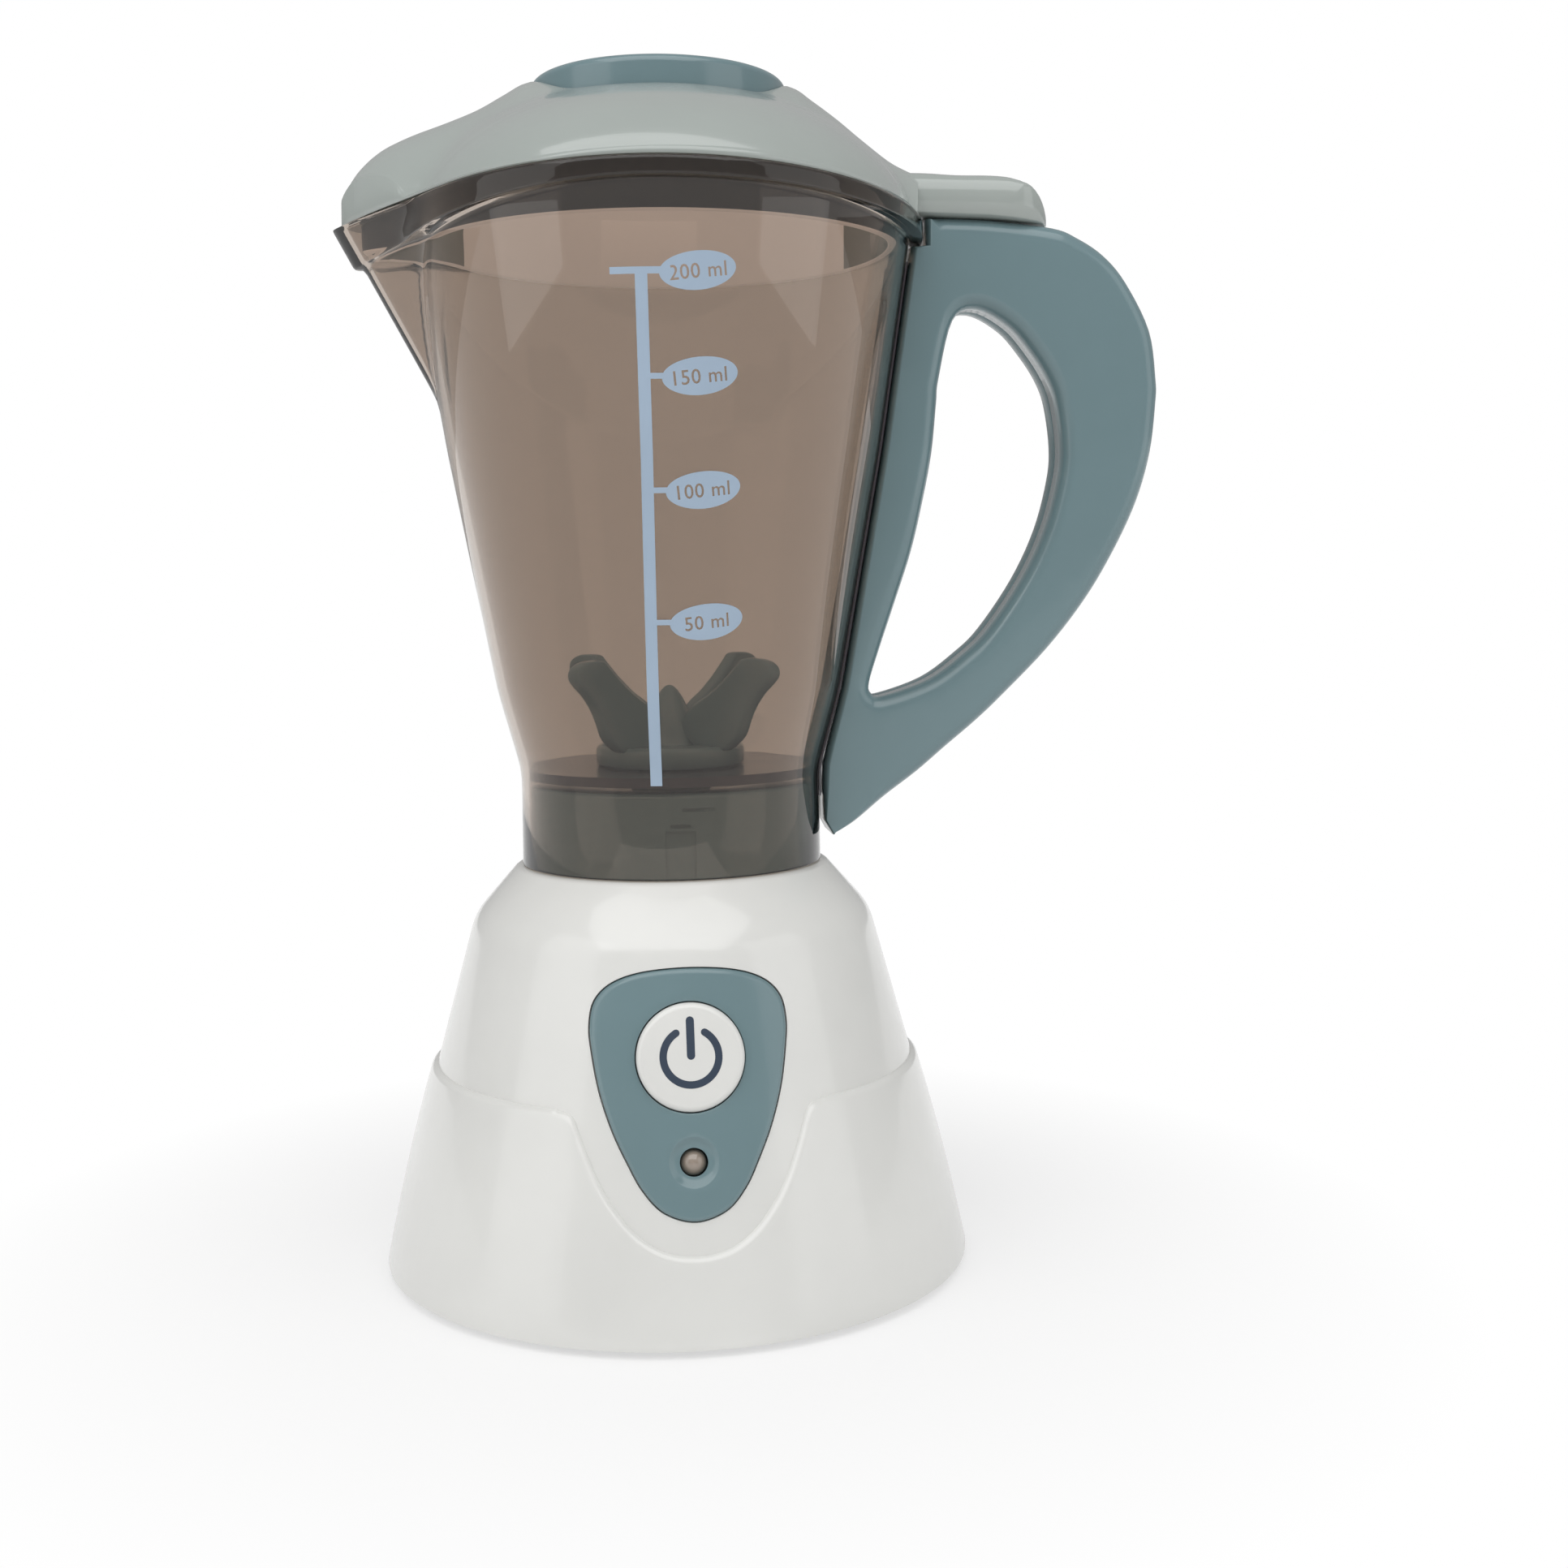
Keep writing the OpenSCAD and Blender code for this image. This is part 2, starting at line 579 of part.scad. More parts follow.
module motor_terminals() color(brass) for (s = [-1, 1])
  translate([s * 5.4 - 0.25, gear_distance - 1.2, motor_low - 3.6]) cube([0.5, 2.4, 5.2]);

module motor_screws() color(steel) for (s = [-1, 1]) translate([s * 8, gear_distance, frame_top]) {
  cylinder(r = 1.7, h = 1.2);
  translate([0, 0, -frame_t - 1.2]) cylinder(r = 0.78, h = frame_t + 1.3);
}

module motor_shaft() color(steel) translate([0, gear_distance, motor_low - 0.2])
  cylinder(r = motor_shaft_r, h = frame_low - motor_low + 0.2 + 11);

module motor_armature() color([0.62, 0.34, 0.18]) translate([0, gear_distance, motor_low + endcap_l + 2.5])
  difference() {
    cylinder(r = motor_flat / 2 - 1.6, h = 13);
    for (a = [0, 120, 240]) rotate([0, 0, a]) translate([4.4, -0.7, -1]) cube([6, 1.4, 15]);
    translate([0, 0, -1]) cylinder(r = motor_shaft_r, h = 15);
  }

// Gear outline: involute flanks, thinned a little for backlash
function inv_point(rb, r) = let (a = acos(rb / r)) tan(a) * 180 / PI - a;
function gear_points(n, m, thin) = let (
    pitch = n * m / 2, rb = pitch * cos(20), tip = pitch + 0.86 * m, root = pitch - 1.2 * m,
    half = 90 / n - thin / pitch * 180 / PI / 2 + inv_point(rb, pitch),
    low = max(rb * 1.002, root), radii = [for (k = [0 : 3]) low + (tip - low) * k / 3],
    flank = [for (r = radii) [r, half - inv_point(rb, r)]],
    foot = [root, half - inv_point(rb, low) + (low > root + 0.05 ? 1.0 : 0.2)])
  [for (i = [0 : n - 1]) let (c = 360 * i / n) each concat(
    [[root * cos(c - foot[1]), root * sin(c - foot[1])]],
    [for (k = [0 : 3]) [flank[k][0] * cos(c - flank[k][1]), flank[k][0] * sin(c - flank[k][1])]],
    [for (k = [3 : -1 : 0]) [flank[k][0] * cos(c + flank[k][1]), flank[k][0] * sin(c + flank[k][1])]],
    [[root * cos(c + foot[1]), root * sin(c + foot[1])]])];
backlash = 0.14;

module motor_pinion() color(brass) translate([0, gear_distance, gear_low - 0.5]) difference() {
  linear_extrude(height = gear_w + 1) polygon(gear_points(pinion_teeth, tooth_module, backlash));
  translate([0, 0, -1]) cylinder(r = motor_shaft_r, h = gear_w + 3);
}

module drive_gear() color(white) difference() {
  union() {
    translate([0, 0, gear_low]) linear_extrude(height = gear_w)
      polygon(gear_points(gear_teeth, tooth_module, backlash));
    translate([0, 0, gear_low + gear_w - eps]) cylinder(r = 4, h = 2);
  }
  difference() {
    translate([0, 0, gear_low + 3.2]) cylinder(r = 13.2, h = gear_w);
    cylinder(r = 4, h = 100);
  }
  for (a = [0 : 60 : 300]) rotate([0, 0, a + 30]) translate([9, 0, gear_low - 1]) cylinder(r = 2.4, h = 10);
  translate([0, 0, gear_low - 1]) cylinder(r = shaft_r, h = 10);
}

dog_low = recess_low + 0.4;
module output_shaft() color(steel) translate([0, 0, frame_low - 3])
  cylinder(r = shaft_r, h = dog_low + 4.4 - frame_low + 3);

module dog_bars(turn, z, h) for (a = [0 : 90 : 270]) rotate([0, 0, a + turn])
  translate([4, -1.2, z]) cube([3.5, 2.4, h]);
module drive_dog() color(white) difference() {
  union() {
    translate([0, 0, dog_low]) cylinder(r = 8, h = 2.2);
    translate([0, 0, dog_low]) cylinder(r = 3.2, h = 4.4);
    dog_bars(0, dog_low + 2, 4.2);
  }
  translate([0, 0, dog_low - 1]) cylinder(r = shaft_r, h = 10);
}

// ---------- jug ----------
// Straight-sided spout wedge, moved in by d; its planes run from the keel to the mouth's circle
function wedge_ring(d) = let (x = keel_x(over_z, d), r = jug_r(over_z) - d, a = acos(r / -x))
  [x, -r * cos(a), r * sin(a)];
module spout_wedge(d) {
  w = wedge_ring(d);
  foot_z = keel_z - 6;
  polyhedron(points = [[keel_x(foot_z, d), 0, foot_z], [w[0], 0, over_z], [w[1], w[2], over_z],
      [w[1], -w[2], over_z], [0, 0, over_z]],
    faces = [[0, 2, 1], [0, 1, 3], [1, 2, 4, 3], [0, 4, 2], [0, 3, 4]]);
}

module jug_round(d, low) rotate_extrude() polygon([[0, low], [jug_r(low) - d, low],
  [jug_r(waist_z) - d, waist_z], [jug_r(flare_z) - d, flare_z], [jug_r(belly_z) - d, belly_z],
  [jug_r(over_z) - d, over_z], [0, over_z]]);

// Everything below the arch that the lip's top follows
wide = 200; // wider than anything on the part
module under_arch(up, r = arch_r) translate([arch_x, 0, lip_z + up - r]) rotate([90, 0, 0])
  cylinder(r = r, h = wide, center = true, $fn = 720);

// Lip: the wall moved out, above a lower edge that drops away towards the spout
lip_arch_r = 190;
module lip_outer() difference() {
  intersection() {
    union() {
      spout_wedge(-lip_proud);
      translate([0, 0, lip_z - 20]) cylinder(r = mouth_r + lip_proud, h = 30);
    }
    translate([-wide / 2, -wide / 2, lip_z - 18]) cube([wide, wide, 40]);
  }
  intersection() {
    under_arch(-lip_h, lip_arch_r);
    translate([arch_x - wide, -wide / 2, lip_z - keel_h - 20]) cube([wide, wide, keel_h + 40]);
  }
  intersection() {
    under_arch(-lip_h);
    translate([arch_x, -wide / 2, lip_z - keel_h - 20]) cube([wide, wide, keel_h + 40]);
  }
}

// A point by x and height above the flat top, drawn for a jug as high as drawn_jug_h
drawn_jug_h = 129.8;
function on_jug(p) = [p[0], top_z + p[1] * jug_h / drawn_jug_h];
fin_screws = [[61, lip_z - 13], on_jug([40.5, 22])];
grip_screw = on_jug([89.5, 80]);
all_handle_screws = concat(fin_screws, [grip_screw]);
// Outline of the fin on the jug's wall, with an ear around each clamping screw
fin_gap = 0.3;
fin_w = 4.5;
module fin_plan(grow) {
  steps = [0, 0.25, 0.5, 0.75, 1];
  low = top_z + 13 - grow;
  high = lip_z - 10.5 + grow;
  wall = [for (k = steps) let (z = low + (high - low) * k) [jug_r(z), z]];
  polygon(concat([for (p = wall) p - [2, 0]],
    [for (i = [len(wall) - 1 : -1 : 0]) wall[i] + [fin_w + grow, 0]]));
  for (p = fin_screws) {
    translate(p) circle(r = 4.4 + grow, $fn = 48);
    translate([p[0] - 11, p[1] - 3.4 - grow]) square([11, 6.8 + 2 * grow]);
  }
}
module jug_fin() rotate([90, 0, 0]) linear_extrude(height = fin_t, center = true) fin_plan(0);

module jug_shell() color(smoke) difference() {
  union() {
    difference() {
      intersection() {
        union() {
          jug_round(0, collar_z);
          spout_wedge(0);
          lip_outer();
        }
        under_arch(0);
      }
      difference() {
        union() {
          jug_round(jug_wall, collar_z);
          spout_wedge(jug_wall);
        }
        translate([0, 0, floor_low]) cylinder(r = collar_r + 10, h = jug_floor_t);
      }
      translate([0, 0, collar_z - 1]) cylinder(r = collar_r - jug_wall, h = floor_low - collar_z + 1);
    }
    translate([0, 0, floor_top - eps]) cylinder(r = 6.4, h = 1.8);
    difference() {
      jug_fin();
      jug_round(0.5, collar_z);
    }
  }
  translate([0, 0, floor_low - 1]) cylinder(r = bush_out, h = 8);
  for (p = fin_screws) translate([p[0], 0, p[1]]) rotate([90, 0, 0])
    cylinder(r = handle_screw_r + 0.2, h = 20, center = true);
}

// Handle: outline in the XZ plane, counter-clockwise, from its lower tip; loop the same way
handle_gap = 0.35;
handle_outer = [for (p = [[32.4, 5], [37.1, 7.6], [43.4, 12.6], [50.0, 17.4], [56.0, 22.4],
  [62.0, 27.3], [67.5, 32.3], [77.3, 42.1], [85.2, 52], [91.2, 61.9], [95.9, 71.9], [98.7, 81.8],
  [99.8, 91.6], [99.8, 96.4], [98.3, 106.1], [93.3, 115.6], [88.6, 120.9], [83.2, 124.3],
  [78.0, 126.2], [65, 127.6], [54.5, 127.9]]) on_jug(p)];
loop_points = [for (p = [[43.0, 33], [52.6, 36.2], [59.9, 41.3], [65.1, 46.3], [72.1, 56.4],
  [76.9, 66.5], [79.6, 76.6], [80.1, 83.3], [79.0, 91.6], [77.2, 96.6], [73.8, 101.8], [69.2, 106.9],
  [62.7, 110.2], [57.8, 107.9], [54.9, 96.4], [54.4, 91.6], [53.4, 81.8], [51.5, 72], [49.1, 62.1],
  [45.8, 52.2], [42.4, 42.3], [40.4, 35.9], [40.7, 33.7]]) on_jug(p)];
lip_side = mouth_r + lip_proud + handle_gap;
lip_side_z = lip_z - lip_h - 3.8;
// The side that lies along the jug: it steps out round the lip, then follows the wall down
handle_side = concat([[lip_side, lip_z - 2.2], [lip_side, lip_side_z]],
  [for (z = [lip_side_z - 0.2, belly_z, flare_z, waist_z, top_z + 8]) [jug_r(z) + handle_gap, z]]);
handle_curve = concat(open_curve(handle_outer, 2), handle_side);
loop_curve = closed_curve(loop_points, 2);
// Share of the edge radius: full outside, less along the jug, and fading towards the lower tip
side_share = 0.35;
handle_share = [for (i = [0 : len(handle_curve) - 1]) let (p = handle_curve[i])
  min(1, 0.1 + (p[1] - handle_outer[0][1]) / 12) * (i < len(handle_curve) - len(handle_side) ? 1 : side_share)];
cavity_low = top_z + 17;

// Skin through a stack of outlines, closed at both ends
module stacked(rings) {
  n = len(rings[0]);
  m = len(rings);
  polyhedron(points = [for (r = rings) each r], faces = concat([[for (i = [0 : n - 1]) i]],
    [for (k = [0 : m - 2]) for (i = [0 : n - 1]) each [
      [k * n + i, (k + 1) * n + i, (k + 1) * n + (i + 1) % n],
      [k * n + i, (k + 1) * n + (i + 1) % n, k * n + (i + 1) % n]]],
    [[for (i = [n - 1 : -1 : 0]) (m - 1) * n + i]]));
}
// Steps of an edge's rounding: how far it has moved in, and its height below z = t
function round_steps(angles, t, edge) = [for (a = angles) [edge * (1 - cos(a)), t - edge + edge * sin(a)]];
// Slab up to z = t whose outline p is rounded towards z = t; its foot is cut off later
module rounded_slab(p, t, edge, share)
  stacked([for (r = concat([[0, -1]], round_steps([0, 30, 60, 90], t, edge)))
    [for (q = inset(p, r[0], share)) [q[0], q[1], r[1]]]]);
// Cutter with outline p that widens with a rounded edge towards z = t
module flared_cutter(p, t, edge)
  stacked([for (r = concat([[0, -2]], round_steps([0, 30, 60, 80], t, edge), [[edge, t + 1]]))
    [for (q = inset(p, -r[0])) [q[0], q[1], r[1]]]]);

// One half, drawn with its parting face on z = 0 and its outside at z = handle_t / 2
module handle_half_shape() difference() {
  difference() {
    rounded_slab(handle_curve, handle_t / 2, handle_edge, handle_share);
    translate([0, 0, -handle_t]) cube([wide, lip_z + 10, handle_t]);
  }
  flared_cutter(loop_curve, handle_t / 2, handle_edge);
  difference() {
    translate([0, 0, -1]) linear_extrude(height = handle_t / 2 - handle_wall + 1) difference() {
      polygon([for (q = inset(handle_curve, handle_wall)) if (q[1] > cavity_low) q]);
      polygon(inset(loop_curve, -handle_wall));
    }
    for (p = all_handle_screws) translate(p) cylinder(r = 3.1, h = handle_t);
  }
  // room for the jug's fin
  translate([0, 0, -1]) linear_extrude(height = 1 + fin_t / 2 + 0.1) fin_plan(fin_gap);
}

module handle_front_half() color(accent) translate([0, -0.01, 0]) rotate([90, 0, 0]) difference() {
  handle_half_shape();
  at_spots(all_handle_screws, -1) cylinder(r = handle_screw_r + pilot_gap, h = 6.5);
}
module handle_rear_half() color(accent) translate([0, 0.01, 0]) mirror([0, 1, 0]) rotate([90, 0, 0])
  difference() {
    handle_half_shape();
    at_spots(all_handle_screws, -1) cylinder(r = handle_screw_r + 0.2, h = handle_t);
    at_spots(all_handle_screws, handle_t / 2 - 2.6) cylinder(r = 2.9, h = 5);
  }
module handle_screws() color(steel) rotate([90, 0, 0]) at_spots(all_handle_screws, -handle_t / 2) {
  translate([0, 0, 0.9]) cylinder(r = 2.6, h = 1.66);
  translate([0, 0, 1]) cylinder(r = handle_screw_r, h = handle_t / 2 + 4);
}

// ---------- blade ----------
bush_out = 3.6;
bush_top = floor_top + 2.2;
module blade_bush() color(brass) difference() {
  union() {
    translate([0, 0, floor_low]) cylinder(r = bush_out, h = bush_top - floor_low);
    translate([0, 0, floor_top + 1.8]) cylinder(r = 5.2, h = 0.8);
  }
  translate([0, 0, floor_low - 1]) cylinder(r = blade_shaft_r + run_gap, h = 10);
}

hub_low = floor_top + 0.3;
hub_top = hub_low + hub_h;
// Fin outline: radius and height above the hub's top
fin_points = [[9, -1], [14.6, -1], [17.2, 0.4], [19.2, 2.4], [20.4, 5.2], [21.9, 8.0], [24.0, 10.6],
  [26.2, 12.6], [27.4, 14.2], [27.1, 16.0], [25.2, 17.2], [22.5, 17.6], [20, 17.4], [18.6, 16.2],
  [15.2, 13.2], [11.1, 10.2], [7.6, 8.2], [5.2, 6.0], [4, 3]];
module blade() color(accent) difference() {
  union() {
    difference() {
      translate([0, 0, hub_low]) cylinder(r = hub_r, h = hub_h);
      translate([0, 0, hub_low - 1]) cylinder(r = hub_r - 2, h = hub_h - 0.6);
    }
    translate([0, 0, hub_low + 2.8]) cylinder(r = 4.4, h = hub_h - 1);
    for (i = [0 : fin_count - 1]) rotate([0, 0, 45 + i * 360 / fin_count])
      translate([0, blade_t / 2, hub_top]) rotate([90, 0, 0]) linear_extrude(height = blade_t)
        polygon(closed_curve(fin_points, 2));
    translate([0, 0, hub_top - 0.5]) rotate_extrude() polygon([[0, 0], [6.6, 0], [5.6, 2.6], [4.4, 6],
      [2.9, 9.4], [1.5, 11.4], [0, 12.3]]);
  }
  translate([0, 0, hub_low - 2]) cylinder(r = blade_shaft_r, h = 7);
}
shaft_low = dog_low + 4.9;
module blade_shaft() color(steel) translate([0, 0, shaft_low])
  cylinder(r = blade_shaft_r, h = hub_low + 4.9 - shaft_low);

driven_top = floor_low - 0.8;
module driven_dog() color(white) difference() {
  union() {
    translate([0, 0, driven_top - 1.7]) cylinder(r = 8, h = 1.7);
    dog_bars(45, dog_low + 2.9, driven_top - dog_low - 3.9);
  }
  translate([0, 0, shaft_low - 1]) cylinder(r = blade_shaft_r, h = 12);
}
module blade_washer() color(steel) translate([0, 0, driven_top + 0.02])
  tube(5, blade_shaft_r, floor_low - driven_top - 0.2);

// ---------- lid ----------
dome_low = lip_z - 6.8;
dome_h = 29;
dome_x = 50.5;
dome_y = 53.1;
// Crest that runs from the spout over the lid to the tail: height above the dome's foot, by x
crest_line = [[-65, 1.2], [-63.4, 4.2], [-62.4, 6.8], [-60.2, 10.9], [-57.6, 14.4], [-53.5, 17.7],
  [-48, 20.2], [-41, 22.6], [-35, 25.0], [-30, 27.9], [-25, 30.5], [-15, 31.6], [0, 32.0], [15, 31.6],
  [25, 30.6], [29.4, 28.0], [34.5, 24.4], [39, 20.8], [44.7, 16.9], [49.5, 14.9], [52, 14.2]];
// Half width of the crest, by x
crest_width = [[-65, 4], [-62, 8.5], [-57, 13.5], [-50, 20], [-40, 25], [-25, 28], [0, 30], [25, 27],
  [40, 19], [52, 12]];
function dome_up(x, y) = dome_h * sqrt(max(0, 1 - pow(x / dome_x, 2) - pow(y / dome_y, 2)));
// The crest's front part stretches with the spout
crest_bend = -25;
crest_reach = 66;
function crest_x(x) = x > crest_bend ? x
  : crest_bend + (x - crest_bend) * (crest_reach + crest_bend) / (spout_reach + crest_bend);
function crest_up(x, y) = lookup(crest_x(x), crest_line)
  * sqrt(max(0, 1 - pow(y / lookup(crest_x(x), crest_width), 2)));
function soft_max(a, b, k) = (a + b + sqrt((a - b) * (a - b) + k * k)) / 2;
function lid_up(x, y) = soft_max(dome_up(x, y), crest_up(x, y), 2.4) - 0.6;
// Reach of a teardrop of radius r with its tip at -tip, in direction a
function drop_reach(a, r, tip) = let (b = acos(r / tip), d = abs(a - 180))
  d < b ? r / cos(b - d) : r;
lid_tip = spout_reach - 1.6;
lid_steps = [0.25, 0.42, 0.54, 0.64, 0.72, 0.79, 0.85, 0.9, 0.94, 0.97, 0.99, 1];
lid_turns = 60;

// Solid under the lid's surface: drop lowers it, grow moves its rim in
module lid_solid(drop, grow) {
  n = lid_turns;
  m = len(lid_steps);
  function at(t, j) = let (a = j * 360 / n, r = drop_reach(a, lid_r - grow, lid_tip - grow * 1.4) * t,
    x = r * cos(a), y = r * sin(a)) [x, y, dome_low - drop + max(lid_up(x, y), 0.5 + drop)];
  low_z = lip_z - 16;
  pts = concat([[0, 0, dome_low - drop + lid_up(0, 0)]],
    [for (t = lid_steps) for (j = [0 : n - 1]) at(t, j)],
    [for (j = [0 : n - 1]) let (q = at(1, j)) [q[0], q[1], low_z]]);
  faces = concat([for (j = [0 : n - 1]) [0, 1 + (j + 1) % n, 1 + j]],
    [for (k = [0 : m - 1]) for (j = [0 : n - 1]) let (a = 1 + k * n + j, b = 1 + k * n + (j + 1) % n)
      each [[a, b, b + n], [a, b + n, a + n]]],
    [[for (j = [n - 1 : -1 : 0]) 1 + m * n + (n - 1 - j)]]);
  polyhedron(points = pts, faces = faces);
}

skirt_gap = 0.6;
skirt_z = lip_z - skirt_down;
// Plan of the skirt, moved in by d from the jug's inner wall at the skirt's lower edge
module skirt_plan(d) {
  w = wedge_ring(jug_wall);
  r = jug_r(skirt_z) - jug_wall - d;
  x = keel_x(skirt_z, jug_wall) + d * 1.35;
  v = [w[1] - w[0], w[2]];
  circle(r = r);
  polygon([[x, 0], [x + v[0] * 0.98, -v[1] * 0.98], [x + v[0] * 0.98, v[1] * 0.98]]);
}

cap_z = lip_z + cap_up;
well_low = cap_z - 6.2;
cap_gap = 0.15;
tail_gap = 0.4;
tail_end = 77.9;
tail_root = 46;
// Top line of the tail: x and height above the middle of the lip
tail_points = [[tail_root, 7.2], [52, 7.1], [58, 6.5], [65, 6.5], [68.6, 6.1], [72.2, 4.7], [74.8, 2.8],
  [76.5, 0.6], [77.6, -1.4]];
// Its lower line, just above the handle, from the root out
tail_low = [[tail_root, -1.7], [65, -2.2], [tail_end, -3.4]];
module tail_prism(w, d) {
  top = open_curve(tail_points, 2);
  last = tail_end - d * 1.2;
  down = tail_gap - (d > 0 ? 2 : 0);
  rotate([90, 0, 0]) linear_extrude(height = w, center = true) translate([0, lip_z]) polygon(concat(
    [for (i = [len(top) - 1 : -1 : 0]) [min(top[i][0], last), top[i][1] - d]],
    [for (p = tail_low) [min(p[0], last), p[1] + down]]));
}
module tail_section(w, d) translate([0, 0, lip_z - 10]) linear_extrude(height = 30) {
  translate([40, -w / 2]) square([tail_end - w / 2 - 40 - d, w]);
  translate([tail_end - w / 2 - d, 0]) circle(r = w / 2);
}
module tail_crown(w) rotate([90, 0, 90]) linear_extrude(height = 100) translate([0, lip_z]) union() {
  corner = 5;
  top = 7.1;
  foot = -12;
  translate([-w / 2, foot]) square([w, top - foot - corner]);
  translate([-w / 2 + corner, foot]) square([w - 2 * corner, top - foot]);
  for (s = [-1, 1]) translate([s * (w / 2 - corner), top - corner]) circle(r = corner);
}

module lid_shell() color([0.62, 0.68, 0.68]) difference() {
  union() {
    difference() {
      lid_solid(0, 0);
      lid_solid(lid_wall, lid_wall);
      under_arch(0.2);
    }
    intersection() {
      lid_solid(0, 0);
      union() {
        translate([0, 0, skirt_z]) linear_extrude(height = 30) difference() {
          skirt_plan(skirt_gap);
          skirt_plan(skirt_gap + skirt_t);
        }
        translate([0, 0, well_low - 2]) tube(cap_r + cap_gap + 1.8, 20.2, 20);
      }
    }
    intersection() {
      tail_prism(tail_w + 2, 0);
      tail_section(tail_w, 0);
      tail_crown(tail_w);
    }
  }
  translate([0, 0, well_low]) cylinder(r = cap_r + cap_gap, h = 30);
  intersection() {
    tail_prism(tail_w, 2);
    tail_section(tail_w - 4, 2);
    translate([lid_r + 1, -20, 0]) cube([60, 40, 300]);
  }
}

module lid_cap() color(accent) rotate_extrude() {
  edge = 1.6;
  foot = well_low + 0.02;
  neck = 20.05;
  polygon(concat([[neck - 1.8, foot - 3.2], [neck, foot - 3.2], [neck, foot], [cap_r, foot]],
    [for (a = [0, 30, 60, 90]) [cap_r - edge + edge * cos(a), cap_z - edge + edge * sin(a)]],
    [[12, cap_z + cap_crown * 0.75], [0, cap_z + cap_crown], [0, cap_z + cap_crown - 2], [12, cap_z - 1.2],
     [neck - 1.8, cap_z - 2]]));
}

// ---------- wires ----------
wire_r = 0.65;
wire_sides = 6;
// Tube swept along the points, with its rings square to the run
module wire(points) {
  p = open_curve(points, 3);
  n = len(p);
  along_run = [for (i = [0 : n - 1]) let (v = p[min(i + 1, n - 1)] - p[max(i - 1, 0)]) v / norm(v)];
  side = [for (v = along_run) let (u = cross(v, abs(v[0]) > 0.9 ? [0, 1, 0] : [1, 0, 0])) u / norm(u)];
  rings = [for (i = [0 : n - 1]) each [for (k = [0 : wire_sides - 1]) let (a = 360 * k / wire_sides)
    p[i] + wire_r * (cos(a) * side[i] + sin(a) * cross(along_run[i], side[i]))]];
  faces = concat([[for (k = [wire_sides - 1 : -1 : 0]) k]],
    [for (i = [0 : n - 2]) for (k = [0 : wire_sides - 1])
      let (a = i * wire_sides + k, b = i * wire_sides + (k + 1) % wire_sides)
      each [[a, b, b + wire_sides], [a, b + wire_sides, a + wire_sides]]],
    [[for (k = [0 : wire_sides - 1]) (n - 1) * wire_sides + k]]);
  polyhedron(points = rings, faces = faces);
}
board_back_y = -cone_r(button_z) + (board_depth + board_t) / cos(tilt);
wire_end_gap = 0.3;
terminal_z = motor_low - 2.6;
wire_x = 10;
wire_z = 40;
module lead_wires() for (s = [-1, 1]) color(s > 0 ? [0.75, 0.12, 0.10] : dark)
  wire([[s * 6.7, gear_distance, terminal_z], [s * 13, 15, terminal_z - 1], [s * 15, 0, 30],
    [s * 14, -14, 33], [s * wire_x, board_back_y + 2.4, wire_z],
    [s * wire_x, board_back_y + wire_end_gap + (wire_z - button_z) * slope, wire_z]]);

base_housing();
jug_seat();
seat_screws();
control_panel();
indicator_led();
circuit_board();
board_screws();
switch_body();
bottom_cover();
cover_screws();
foot_ring();
battery_cell_1();
battery_cell_2();
battery_contacts();
battery_springs();
gear_frame();
gear_frame_screws();
motor_can();
motor_endcap();
motor_terminals();
motor_screws();
lead_wires();
output_bush();
power_button();
switch_plunger();
button_spring();
battery_door();
door_screw();
motor_shaft();
motor_armature();
motor_pinion();
output_shaft();
drive_gear();
drive_dog();
jug_shell();
handle_front_half();
handle_rear_half();
handle_screws();
blade_bush();
blade();
blade_shaft();
driven_dog();
blade_washer();
lid_shell();
lid_cap();
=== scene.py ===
from math import acos, atan, atan2, ceil, cos, degrees, hypot, pi, radians, sin, sqrt

import bmesh
import bpy
from mathutils import Matrix, Vector
from mathutils.geometry import delaunay_2d_cdt


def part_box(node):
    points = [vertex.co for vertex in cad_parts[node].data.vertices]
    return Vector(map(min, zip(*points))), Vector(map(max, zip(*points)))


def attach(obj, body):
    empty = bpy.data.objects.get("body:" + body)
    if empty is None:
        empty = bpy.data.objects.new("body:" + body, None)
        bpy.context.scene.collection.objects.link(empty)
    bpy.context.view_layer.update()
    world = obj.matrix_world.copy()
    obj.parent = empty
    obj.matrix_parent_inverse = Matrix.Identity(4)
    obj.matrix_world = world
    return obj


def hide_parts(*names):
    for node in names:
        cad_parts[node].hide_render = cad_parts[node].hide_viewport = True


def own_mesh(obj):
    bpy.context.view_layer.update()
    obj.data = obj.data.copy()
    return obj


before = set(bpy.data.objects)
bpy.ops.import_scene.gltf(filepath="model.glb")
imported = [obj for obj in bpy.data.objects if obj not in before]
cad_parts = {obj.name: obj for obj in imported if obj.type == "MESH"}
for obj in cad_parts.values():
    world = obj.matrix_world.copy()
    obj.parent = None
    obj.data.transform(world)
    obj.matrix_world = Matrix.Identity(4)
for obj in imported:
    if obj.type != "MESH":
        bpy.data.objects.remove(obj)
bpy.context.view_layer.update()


# ---- Base housing ----
# The body of the toy: one glossy white ABS moulding, a cone with a soft shoulder. A thicker band runs round its
# foot and dips in a V under the control panel. The panel drops into a pocket in front; the jug stands on top.

MM = 0.001


def node_box(node):
    """Lowest and highest corner of a CAD node, in millimetres."""
    low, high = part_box(node)
    return low / MM, high / MM


def lerp(a, b, t):
    return a + (b - a) * t


def spread(low, high, count):
    """count + 1 even steps from low to high."""
    return [lerp(low, high, i / count) for i in range(count + 1)]


